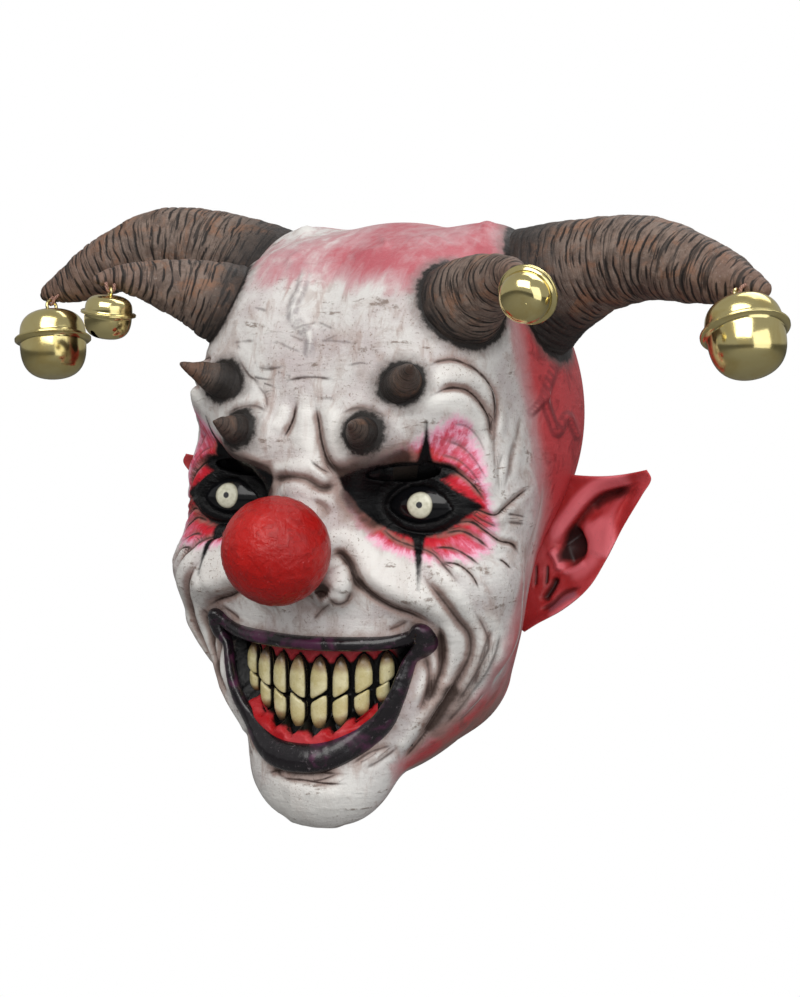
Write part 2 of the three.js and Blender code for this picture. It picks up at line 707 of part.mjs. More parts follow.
function addPiece(name, solid, materialName) {
  const material = new THREE.MeshStandardMaterial(MATERIALS[materialName]);
  const mesh = new THREE.Mesh(geometryFromSolid(solid), material);
  mesh.name = name;
  mask.add(mesh);
}

const SIDES = [{ word: 'left', sign: 1 }, { word: 'right', sign: -1 }];
const HORNS = [
  { word: 'rear', rows: REAR_HORN },
  { word: 'front', rows: FRONT_HORN },
];

addPiece('face_shell', faceShell(), 'skin');
addPiece('nose_ball', noseBall(), 'nose');
addPiece('lips', lips(), 'lips');
addPiece('gums', gums(), 'gums');
for (const { word, sign } of SIDES) {
  addPiece(`ear_${word}`, ear(sign), 'earSkin');
  addPiece(`eye_${word}`, eye(sign), 'eyes');
  SPIKES.forEach((row) => addPiece(`spike_${row.name}_${word}`, spike(row, sign), 'horn'));
  UPPER_TEETH.forEach((row, i) => addPiece(`tooth_upper_${word}_${i + 1}`, tooth(row, sign, true), 'teeth'));
  LOWER_TEETH.forEach((row, i) => addPiece(`tooth_lower_${word}_${i + 1}`, tooth(row, sign, false), 'teeth'));
  for (const { word: place, rows } of HORNS) {
    const form = [rows, sign, HORN_RINGS[place], HORN_SIDES[place]];
    const row = BELLS.find((bellRow) => bellRow.name === `${place}_${word}`);
    addPiece(`horn_${place}_${word}`, seated(horn(...form)), 'horn');
    const bellSolid = bell(row);
    addPiece(`bell_${place}_${word}`, bellSolid, 'brass');
    addPiece(`tie_${place}_${word}`, tie(row, horn(...form, GAP)), 'cord');
    addPiece(`pellet_${place}_${word}`, pellet(row, bellSolid), 'steel');
  }
}

export default mask;
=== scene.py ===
# Looks of an overhead latex clown mask: painted skin, ball nose, glossy eyes, toothed grin,
# ringed horns and brow spikes, red ears and brass jingle bells.
# Lengths in the tables are millimetres in face coordinates: +X is the mask's own left, the
# face looks along -Y, and heights are counted from the eye line.

import math

import bpy
import numpy as np
from mathutils import Matrix, Vector, noise


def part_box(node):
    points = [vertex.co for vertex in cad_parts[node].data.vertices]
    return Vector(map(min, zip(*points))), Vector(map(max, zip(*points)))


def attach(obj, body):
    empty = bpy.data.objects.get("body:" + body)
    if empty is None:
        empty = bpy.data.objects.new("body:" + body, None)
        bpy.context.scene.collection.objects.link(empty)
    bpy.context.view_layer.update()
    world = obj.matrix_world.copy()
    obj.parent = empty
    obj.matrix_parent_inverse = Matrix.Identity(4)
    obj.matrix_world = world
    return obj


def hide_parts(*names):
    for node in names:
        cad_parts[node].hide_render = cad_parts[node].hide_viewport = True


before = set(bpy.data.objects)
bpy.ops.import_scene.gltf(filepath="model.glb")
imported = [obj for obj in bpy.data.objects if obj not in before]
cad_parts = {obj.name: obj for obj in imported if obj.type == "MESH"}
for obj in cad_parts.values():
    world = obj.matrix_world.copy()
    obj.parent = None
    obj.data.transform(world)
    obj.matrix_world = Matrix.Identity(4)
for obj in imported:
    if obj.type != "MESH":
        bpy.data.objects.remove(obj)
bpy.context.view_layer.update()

BODY = "root"
MM = 0.001
CROWN_SEAT = 134.0     # inside of the crown above the eye line
SIDES = (("left", 1), ("right", -1))
TINY = 1e-9

# Camera, at the photograph's angle
PHOTO_WIDTH = 800
PHOTO_HEIGHT = 997
FOCAL = 2000.0         # in pixels of that frame
SENSOR = 36.0
AZIMUTH = math.radians(27.0)
ELEVATION = math.radians(5.0)
DISTANCE = 1000.0      # from the middle of the eye line
RIGHT = np.array((math.cos(AZIMUTH), math.sin(AZIMUTH), 0.0))
BACK = np.array((
    math.sin(AZIMUTH) * math.cos(ELEVATION),
    -math.cos(AZIMUTH) * math.cos(ELEVATION),
    math.sin(ELEVATION),
))
UP = np.cross(BACK, RIGHT)


def row_point(point):
    """A face point in metres in the part's own frame."""
    return Vector((point[0] * MM, point[1] * MM, (point[2] - CROWN_SEAT) * MM))


def set_camera():
    data = bpy.data.cameras.new("camera")
    data.sensor_width = SENSOR
    data.lens = SENSOR * FOCAL / PHOTO_HEIGHT
    data.clip_end = 50.0
    camera = bpy.data.objects.new("camera", data)
    bpy.context.scene.collection.objects.link(camera)
    turn = Matrix((RIGHT, UP, BACK)).transposed().to_4x4()
    camera.matrix_world = Matrix.Translation(row_point(BACK * DISTANCE)) @ turn
    bpy.context.scene.camera = camera


set_camera()


# Head form: smoothly joined ellipsoids, as in the solid. A pair row stands on both sides of
# the mid-plane, and a carved row is taken out of the rows above it.
MASSES = (
    # name, pair, at, radii, blend, carved
    ("cranium", False, (0, 5, 42), (88, 100, 95), 0, False),
    ("forehead", True, (38, -42, 80), (34, 38, 38), 30, False),
    ("horn_collar", True, (50, 0, 108), (24, 32, 27), 18, False),
    ("face", False, (0, -28, -35), (76, 70, 92), 25, False),
    ("orbit_side", True, (64, -46, 9), (26, 30, 38), 18, False),
    ("cheekbone", True, (52, -60, -30), (38, 34, 26), 14, False),
    ("smile_fold", True, (60.5, -52, -53), (25, 24, 26), 14, False),
    ("jaw", True, (31, -44, -82), (29, 40, 26), 22, False),
    ("neck", False, (0, 10, -75), (50, 62, 95), 25, False),
    ("muzzle", False, (0, -58, -80), (58, 41, 50), 14, False),
    ("chin", False, (0, -81, -120.5), (36, 23, 27), 16, False),
    ("brow_inner", True, (29, -86, 35), (18, 17, 15), 12, False),
    ("brow_outer", True, (50, -70, 52), (21, 20, 19), 16, False),
    ("nose_bridge", False, (0, -86, 4), (12, 16, 30), 10, False),
    ("nose_bulb", False, (0, -96, -18), (16, 18, 18), 10, False),
    ("nose_wing", True, (15, -95, -32), (10, 12, 10), 6, False),
    ("socket", True, (50, -100, 6), (27, 31, 17), 7, True),
    ("temple", True, (121, -62, 40), (30, 50, 50), 25, True),
)
WALL = 2.5
GRIN = {"top": -58, "half_width": 49, "drop": 46, "blend": 4}
GRIN_FLOOR = {"at": (0, -56, -80), "radii": (50, 31, 48)}
EYE_CENTRE = (50, -66, 4)
EYE_RADII = (22, 16, 13)
LID = {"swell": 2.4, "blend": 4.0, "edge": 1.6}
EYE_GAP = {"x": 50.5, "z": 4.3, "half_width": 16.0, "up": 10.0, "down": 7.2, "bow": 0.8}
NET_FROM = np.array((0.0, -5.0, -20.0))
NET_START = 260.0
NET_STEPS = 90
NET_STEP_SHARE = 0.8
NET_CLOSE = 0.002      # a point this near the skin is on it
RIM_Y = (-125, -72, -40, 0, 80)
RIM_Z = (-160, -152, -110, -99, -78)
RIM_SEARCH = (100.0, 172.0)   # degrees from the crown
RIM_HALVINGS = 22


def ellipsoid_distance(p, at, radii):
    size = np.array(radii, float)
    q = (p - np.array(at, float)) / size
    k0 = np.sqrt((q * q).sum(1))
    q /= size
    k1 = np.sqrt((q * q).sum(1))
    return k0 * (k0 - 1.0) / np.maximum(k1, TINY)


def smooth_min(a, b, blend):
    if blend <= 0:
        return np.minimum(a, b)
    h = np.maximum(blend - np.abs(a - b), 0.0) / blend
    return np.minimum(a, b) - h * h * blend / 4.0


def one_side(p):
    """The points with those of the right side mirrored to the left."""
    mirrored = p.copy()
    mirrored[:, 0] = np.abs(mirrored[:, 0])
    return mirrored


def face_distance(p):
    left = one_side(p)
    distance = None
    for _, pair, at, radii, blend, carved in MASSES:
        mass = ellipsoid_distance(left if pair else p, at, radii)
        if distance is None:
            distance = mass
        elif carved:
            distance = -smooth_min(-distance, mass, blend)
        else:
            distance = smooth_min(distance, mass, blend)
    return distance


def grin_distance(p):
    flat = np.column_stack((p[:, 0], np.zeros(len(p)), p[:, 2]))
    bowl = ellipsoid_distance(flat, (0, 0, GRIN["top"]), (GRIN["half_width"], 1, GRIN["drop"]))
    outline = np.maximum(bowl, p[:, 2] - GRIN["top"])
    floor = ellipsoid_distance(p, GRIN_FLOOR["at"], GRIN_FLOOR["radii"])
    return np.maximum(np.maximum(outline, -floor), p[:, 1] - GRIN_FLOOR["at"][1])


def eye_gap_distance(left):
    """Distance to the almond between the lids, in the front view."""
    along = np.abs(left[:, 0] - EYE_GAP["x"]) / EYE_GAP["half_width"]
    bow = np.maximum(1.0 - along ** 2, 0.0) ** EYE_GAP["bow"]
    rise = left[:, 2] - EYE_GAP["z"]
    edge = np.where(rise > 0, rise - EYE_GAP["up"] * bow, -rise - EYE_GAP["down"] * bow)
    return np.maximum(edge, (along - 1.0) * EYE_GAP["half_width"])


def skin_distance(p):
    """Distance to the painted skin, with the lids that the eyes look out of."""
    head = -smooth_min(-face_distance(p), grin_distance(p), GRIN["blend"])
    left = one_side(p)
    swollen = tuple(r + LID["swell"] for r in EYE_RADII)
    shell = ellipsoid_distance(left, EYE_CENTRE, swollen)
    lid = -smooth_min(-shell, eye_gap_distance(left), LID["edge"])
    return smooth_min(head, lid, LID["blend"])


def slope(distance, p, step=0.25):
    """Outward unit normals of a distance field."""
    normal = np.empty_like(p)
    for axis in range(3):
        ahead = p.copy()
        behind = p.copy()
        ahead[:, axis] += step
        behind[:, axis] -= step
        normal[:, axis] = distance(ahead) - distance(behind)
    return normal / np.maximum(np.linalg.norm(normal, axis=1, keepdims=True), TINY)


def ray_directions(theta, phi):
    return np.column_stack((np.sin(phi) * np.sin(theta), -np.sin(phi) * np.cos(theta), np.cos(phi)))


def walk_in(directions, level=0.0):
    """The first skin point, sunk or grown by level, met on each ray towards the net's middle."""
    levels = np.broadcast_to(level, len(directions))
    radius = np.full(len(directions), NET_START)
    moving = np.arange(len(directions))
    for _ in range(NET_STEPS):
        rays = directions[moving]
        gap = skin_distance(NET_FROM + rays * radius[moving, None]) - levels[moving]
        radius[moving] -= NET_STEP_SHARE * np.maximum(gap, 0.0)
        moving = moving[gap > NET_CLOSE]
        if not len(moving):
            break
    return NET_FROM + directions * radius[:, None]


def face_front(x, z):
    """Depth of the face without its grin, straight behind a place in front of it."""
    y = np.full(len(x), -NET_START)
    for _ in range(NET_STEPS):
        y += NET_STEP_SHARE * np.maximum(face_distance(np.column_stack((x, y, z))), 0.0)
    return y


def rim_angles(theta):
    low = np.full(len(theta), math.radians(RIM_SEARCH[0]))
    high = np.full(len(theta), math.radians(RIM_SEARCH[1]))
    for _ in range(RIM_HALVINGS):
        middle = (low + high) / 2
        point = walk_in(ray_directions(theta, middle))
        above = point[:, 2] > np.interp(point[:, 1], RIM_Y, RIM_Z)
        low = np.where(above, middle, low)
        high = np.where(above, high, middle)
    return low


# Where a skin point shows in the photograph's frame
LINE_STEPS = 5         # straight steps between two drawn points
LINE_REACH = 45.0      # pixels beyond which a drawn line does nothing
LINE_END = 0.15        # strength left at a drawn line's ends
LINE_FADE = 0.18       # share of its length over which it fades to that
FAR_OFF = 999.0


def seen_at(p):
    depth = DISTANCE - p @ BACK
    across = PHOTO_WIDTH / 2 + FOCAL * (p @ RIGHT) / depth
    down = PHOTO_HEIGHT / 2 - FOCAL * (p @ UP) / depth
    return np.column_stack((across, down)), FOCAL / depth


def facing(p, normal):
    towards = BACK * DISTANCE - p
    towards /= np.linalg.norm(towards, axis=1, keepdims=True)
    return (towards * normal).sum(1)


def ease(value, low, high):
    share = np.clip((value - low) / (high - low), 0.0, 1.0)
    return share * share * (3.0 - 2.0 * share)


def spline(points, count, closed=False):
    """Points of a centripetal Catmull-Rom curve at even steps of its parameter."""
    p = np.array(points, float)
    if closed:
        p = np.vstack((p[-1:], p, p[:2]))
    else:
        p = np.vstack((2 * p[:1] - p[1:2], p, 2 * p[-1:] - p[-2:-1]))
    spans = len(p) - 3
    t = np.linspace(0.0, spans, count, endpoint=not closed)
    index = np.minimum(t.astype(int), spans - 1)
    w = (t - index)[:, None]
    a, b, c, d = (p[index + k] for k in range(4))

    def root(u, v):
        return np.maximum(np.sqrt(np.linalg.norm(v - u, axis=1, keepdims=True)), 1e-4)

    ta, tb, tc = root(a, b), root(b, c), root(c, d)
    m1 = ((b - a) / ta - (c - a) / (ta + tb) + (c - b) / tb) * tb
    m2 = ((c - b) / tb - (d - b) / (tb + tc) + (d - c) / tc) * tb
    curve = b + w * (m1 + w * ((-3 * b + 3 * c - 2 * m1 - m2) + w * (2 * b - 2 * c + m1 + m2)))
    return curve


def line_field(pixels, points):
    """Pixels from each place to a drawn line, positive right of it, and the share along it."""
    line = spline(points, LINE_STEPS * (len(points) - 1) + 1)
    gap = np.full(len(pixels), FAR_OFF)
    side = np.ones(len(pixels))
    along = np.zeros(len(pixels))
    low = line.min(axis=0) - LINE_REACH
    high = line.max(axis=0) + LINE_REACH
    close = np.nonzero(((pixels > low) & (pixels < high)).all(axis=1))[0]
    near = pixels[close]
    spans = len(line) - 1
    for i in range(spans):
        step = line[i + 1] - line[i]
        away = near - line[i]
        share = np.clip((away @ step) / max(step @ step, TINY), 0.0, 1.0)
        reach = np.linalg.norm(away - share[:, None] * step, axis=1)
        nearer = reach < gap[close]
        which = close[nearer]
        gap[which] = reach[nearer]
        side[which] = np.where(step[0] * away[nearer, 1] > step[1] * away[nearer, 0], 1.0, -1.0)
        along[which] = (i + share[nearer]) / spans
    return gap * side, along


def outline_depth(pixels, corners):
    """Pixels inside a drawn outline, negative outside it."""
    ring = np.array(corners, float)
    best = np.full(len(pixels), np.inf)
    inside = np.zeros(len(pixels), bool)
    for start, end in zip(ring, np.roll(ring, -1, axis=0)):
        step = end - start
        share = np.clip(((pixels - start) @ step) / (step @ step), 0.0, 1.0)
        best = np.minimum(best, np.linalg.norm(pixels - start - share[:, None] * step, axis=1))
        crosses = (start[1] > pixels[:, 1]) != (end[1] > pixels[:, 1])
        at = start[0] + (pixels[:, 1] - start[1]) * step[0] / (step[1] if step[1] else TINY)
        inside ^= crosses & (pixels[:, 0] < at)
    return np.where(inside, best, -best)


# Pieces in bpy

def deselect():
    if bpy.context.object and bpy.context.object.mode != "OBJECT":
        bpy.ops.object.mode_set(mode="OBJECT")
    bpy.ops.object.select_all(action="DESELECT")


def use_only(piece):
    deselect()
    piece.select_set(True)
    bpy.context.view_layer.objects.active = piece


def vertices_of(piece):
    co = np.empty(len(piece.data.vertices) * 3, np.float32)
    piece.data.vertices.foreach_get("co", co)
    return co.reshape(-1, 3).astype(float)


def face_points(piece):
    """The piece's vertices in face millimetres."""
    return vertices_of(piece) / MM + np.array((0.0, 0.0, CROWN_SEAT))


def put_vertices(piece, points):
    co = (points - np.array((0.0, 0.0, CROWN_SEAT))) * MM
    piece.data.vertices.foreach_set("co", co.astype(np.float32).ravel())
    piece.data.update()


def grid_sheet(name, across, along):
    """A flat grid to be rolled into a piece, and each vertex's share across and along it."""
    deselect()
    bpy.ops.mesh.primitive_grid_add(x_subdivisions=across, y_subdivisions=along, size=1.0)
    sheet = bpy.context.active_object
    sheet.name = name
    sheet.data.name = name
    co = vertices_of(sheet)
    return sheet, co[:, 0] + 0.5, co[:, 1] + 0.5


def weld(piece, within=0.01):
    """Joins the seam of a rolled sheet, fills its ends and turns its faces outwards."""
    use_only(piece)
    bpy.ops.object.mode_set(mode="EDIT")
    bpy.ops.mesh.select_all(action="SELECT")
    bpy.ops.mesh.remove_doubles(threshold=within * MM)
    bpy.ops.mesh.fill_holes(sides=0)
    bpy.ops.mesh.normals_make_consistent(inside=False)
    bpy.ops.object.mode_set(mode="OBJECT")


def paint(piece, name, values):
    """Keeps a number for each vertex, for the piece's material."""
    attribute = piece.data.attributes.new(name, "FLOAT", "POINT")
    attribute.data.foreach_set("value", np.asarray(values, np.float32))


def normals_of(piece):
    normal = np.empty(len(piece.data.vertices) * 3, np.float32)
    piece.data.vertex_normals.foreach_get("vector", normal)
    return normal.reshape(-1, 3).astype(float)


def finish_piece(piece, material, slot, *nodes):
    use_only(piece)
    bpy.ops.object.shade_smooth()
    piece.data.materials.clear()
    piece.data.materials.append(material)
    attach(piece, BODY)
    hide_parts(*nodes)
    return piece


# Material building

class Recipe:
    """A node material with one shader, whose patterns read object coordinates."""

    def __init__(self, name, **sockets):
        self.material = bpy.data.materials.new(name)
        self.material.use_nodes = True
        self.tree = self.material.node_tree
        self.shader = self.tree.nodes["Principled BSDF"]
        self.place = self.node("ShaderNodeTexCoord").outputs["Object"]
        for socket, value in sockets.items():
            self.shader.inputs[socket.replace("_", " ")].default_value = value

    def node(self, kind, **values):
        made = self.tree.nodes.new(kind)
        for key, value in values.items():
            setattr(made, key, value)
        return made

    def feed(self, socket, value):
        if hasattr(value, "is_linked"):
            self.tree.links.new(value, socket)
        else:
            socket.default_value = value

    def attribute(self, name):
        return self.node("ShaderNodeAttribute", attribute_name=name).outputs["Fac"]

    def stretched(self, scale):
        mapping = self.node("ShaderNodeMapping")
        self.feed(mapping.inputs["Vector"], self.place)
        mapping.inputs["Scale"].default_value = scale
        return mapping.outputs["Vector"]

    def noise(self, scale, detail=4.0, rough=0.55, warp=0.0, vector=None):
        made = self.node("ShaderNodeTexNoise")
        self.feed(made.inputs["Vector"], vector or self.place)
        made.inputs["Scale"].default_value = scale
        made.inputs["Detail"].default_value = detail
        made.inputs["Roughness"].default_value = rough
        made.inputs["Distortion"].default_value = warp
        return made.outputs["Fac"]

    def joined(self, *values):
        """A place made of the given numbers."""
        made = self.node("ShaderNodeCombineXYZ")
        for socket, value in zip(made.inputs, values):
            self.feed(socket, value)
        return made.outputs[0]

    def span(self, value, low, high, to_low=0.0, to_high=1.0):
        made = self.node("ShaderNodeMapRange", interpolation_type="SMOOTHSTEP")
        self.feed(made.inputs["Value"], value)
        made.inputs["From Min"].default_value = low
        made.inputs["From Max"].default_value = high
        made.inputs["To Min"].default_value = to_low
        made.inputs["To Max"].default_value = to_high
        return made.outputs["Result"]

    def sum(self, a, b, share=1.0):
        """a plus a share of b."""
        made = self.node("ShaderNodeMath", operation="MULTIPLY_ADD")
        self.feed(made.inputs[0], b)
        self.feed(made.inputs[1], share)
        self.feed(made.inputs[2], a)
        return made.outputs[0]

    def broken(self, mask, texture, power):
        """A mask with noise added all over."""
        return self.sum(mask, self.sum(-0.5, texture), power)

    def patchy(self, mask, *noises):
        """A mask with noise added where there is some of it."""
        gate = self.span(mask, 0.0, 0.2)
        total = mask
        for texture, power in noises:
            total = self.sum(total, self.product(self.sum(-0.5, texture), gate), power)
        return total

    def product(self, a, b):
        made = self.node("ShaderNodeMath", operation="MULTIPLY")
        self.feed(made.inputs[0], a)
        self.feed(made.inputs[1], b)
        return made.outputs[0]

    def over(self, base, colour, mask):
        """A coat of colour over the base where the mask is 1."""
        made = self.node("ShaderNodeMix", data_type="RGBA")
        self.feed(made.inputs["Factor"], mask)
        self.feed(made.inputs[6], rgba(base))
        self.feed(made.inputs[7], rgba(colour))
        return made.outputs[2]

    def colour(self, value):
        self.feed(self.shader.inputs["Base Color"], value)

    def roughness(self, value):
        self.feed(self.shader.inputs["Roughness"], value)

    def bump(self, height, depth, strength=1.0):
        made = self.node("ShaderNodeBump")
        made.inputs["Distance"].default_value = depth * MM
        made.inputs["Strength"].default_value = strength
        self.feed(made.inputs["Height"], height)
        if self.shader.inputs["Normal"].is_linked:
            self.feed(made.inputs["Normal"], self.shader.inputs["Normal"].links[0].from_socket)
        self.feed(self.shader.inputs["Normal"], made.outputs["Normal"])


def rgba(colour):
    if isinstance(colour, tuple):
        return colour + (1.0,)
    return colour


def skin_paint():
    m = Recipe("painted_latex_skin", Specular_IOR_Level=0.18)
    blotch = m.noise(26.0, 6.0, 0.62, 0.4)
    patch = m.noise(75.0, 6.0, 0.7, 0.8)
    fine = m.noise(260.0, 6.0, 0.65)
    speck = m.noise(900.0, 3.0, 0.6)
    streak = m.noise(70.0, 6.0, 0.65, 0.5, m.stretched((2.6, 1.0, 0.7)))
    level = m.noise(60.0, 6.0, 0.6, 0.6, m.stretched((0.7, 0.7, 3.2)))
    rays = m.joined(m.attribute("eye_x"), m.attribute("eye_z"), m.attribute("eye_far"))
    ray = m.noise(9.0, 5.0, 0.65, 0.2, rays)
    # bare latex with its stains and scratches, lighter drybrushed paint that is partly a painted
    # highlight on the raised folds, and painted shade beside the veins
    drybrush_and_highlight = m.attribute("drybrush_and_highlight")
    base = m.over((0.69, 0.672, 0.65), (0.46, 0.38, 0.385), m.span(blotch, 0.42, 0.68, 0.0, 0.65))
    base = m.over(base, (0.46, 0.39, 0.36), m.span(patch, 0.50, 0.66, 0.0, 0.6))
    base = m.over(base, (0.38, 0.28, 0.245), m.span(streak, 0.50, 0.68, 0.0, 0.62))
    # lighter drybrushed paint and a painted highlight on the raised folds
    base = m.over(base, (0.80, 0.785, 0.75), m.span(drybrush_and_highlight, 0.2, 1.6, 0.0, 0.75))
    stain = m.product(m.span(speck, 0.58, 0.68), m.span(blotch, 0.42, 0.58))
    base = m.over(base, (0.22, 0.15, 0.11), m.product(stain, 0.65))
    scratch = m.product(m.span(level, 0.585, 0.64), m.span(fine, 0.45, 0.6))
    base = m.over(base, (0.17, 0.12, 0.09), m.product(scratch, 0.75))
    # painted grey shade beside the raised veins
    grey_vein_shade = m.product(m.span(m.attribute("vein_side_shade"), 0.1, 0.9), m.span(fine, 0.35, 0.6, 0.2, 0.6))
    base = m.over(base, (0.25, 0.22, 0.23), grey_vein_shade)
    # pink crown and red hood
    crown = m.patchy(m.attribute("crown"), (blotch, 1.6), (streak, 0.9))
    base = m.over(base, (0.52, 0.25, 0.275), m.span(crown, 0.06, 0.62, 0.0, 0.88))
    base = m.over(base, (0.46, 0.075, 0.10), m.span(crown, 0.48, 1.05, 0.0, 0.8))
    hood = m.patchy(m.attribute("hood"), (streak, 0.55))
    base = m.over(base, (0.54, 0.24, 0.25), m.span(hood, 0.08, 0.5, 0.0, 0.85))
    base = m.over(base, (0.56, 0.056, 0.064), m.span(hood, 0.4, 0.95, 0.0, 0.95))
    deep = m.product(m.span(patch, 0.48, 0.64), m.span(hood, 0.5, 0.9))
    base = m.over(base, (0.17, 0.016, 0.020), m.product(deep, 0.5))
    # painted dark shade beside the veins on the hood
    hood_vein_shade = m.product(m.span(m.attribute("vein_side_shade"), 0.3, 1.0), m.span(hood, 0.2, 0.7))
    base = m.over(base, (0.13, 0.030, 0.036), m.product(hood_vein_shade, 0.6))
    # red strokes round the eyes, from pink to nearly black
    red = m.patchy(m.attribute("eye_red"), (ray, 0.9), (fine, 0.35))
    base = m.over(base, (0.90, 0.40, 0.57), m.span(red, 0.03, 0.36, 0.0, 0.86))
    base = m.over(base, (0.66, 0.085, 0.15), m.span(red, 0.28, 0.5, 0.0, 0.9))
    base = m.over(base, (0.56, 0.010, 0.022), m.span(red, 0.45, 0.7, 0.0, 0.95))
    base = m.over(base, (0.10, 0.004, 0.006), m.span(red, 0.75, 1.05, 0.0, 0.95))
    # brown wash and painted shade in the creases and hollows, round the lips and over the neck edge
    wash_and_shade = m.patchy(m.attribute("wash_and_shade"), (fine, 0.5), (patch, 0.9))
    base = m.over(base, (0.28, 0.175, 0.145), m.span(wash_and_shade, 0.08, 0.8, 0.0, 0.75))
    base = m.over(base, (0.040, 0.024, 0.018), m.span(wash_and_shade, 0.7, 1.5, 0.0, 0.88))
    # dark lines in the creases, and black round the horns and over the eyes; the black on the slits' cut
    # walls and inside the mouth is painted shade
    away = m.node("ShaderNodeMath", operation="ABSOLUTE")
    m.feed(away.inputs[0], m.attribute("crease_side"))
    core = m.broken(away.outputs[0], fine, 1.3)
    drawn = m.product(m.span(core, 0.05, 0.85, 1.0, 0.0), m.attribute("crease_power"))
    base = m.over(base, (0.035, 0.020, 0.016), drawn)
    collar = m.broken(m.attribute("collar"), fine, 5.0)
    base = m.over(base, (0.15, 0.125, 0.115), m.span(collar, 0.5, 7.5, 0.8, 0.0))
    base = m.over(base, (0.014, 0.012, 0.011), m.span(collar, 0.8, 2.9, 0.97, 0.0))
    black = m.broken(m.attribute("black"), fine, 1.6)
    blacked = m.span(black, -1.3, 0.5)
    base = m.over(base, (0.0035, 0.0035, 0.004), blacked)
    # the inside of the wall nearly black, as painted shade
    base = m.over(base, (0.035, 0.028, 0.023), m.attribute("inside"))
    m.colour(base)
    m.roughness(m.span(blacked, 0.0, 1.0, 0.42, 0.2))
    m.bump(fine, 0.7, 0.5)
    m.bump(patch, 1.6, 0.4)
    m.bump(level, 1.6, 0.4)
    m.bump(streak, 1.2, 0.35)
    m.bump(m.product(ray, m.attribute("eye_red")), 2.2, 0.5)
    return m.material


# Skin

COLUMNS = 390
# This share of the columns goes to that turn from the front, in degrees
COLUMN_TURN = ((0.0, 0.74, 1.0), (0.0, 86.0, 180.0))
OUTER_ROWS = 224
INNER_ROWS = 24
CROWN_ROWS = (0.2, 0.34)       # this share of the rows covers that share of the way down
SLIT = {"x": 44.5, "z": 19.3, "width": 31, "height": 7.5, "y_from": -125, "y_to": -45, "tilt": 5}
SLIT_BLACK = 1.5               # black paint round a slit, and painted shade on its cut walls
SLIT_SIDES = 48

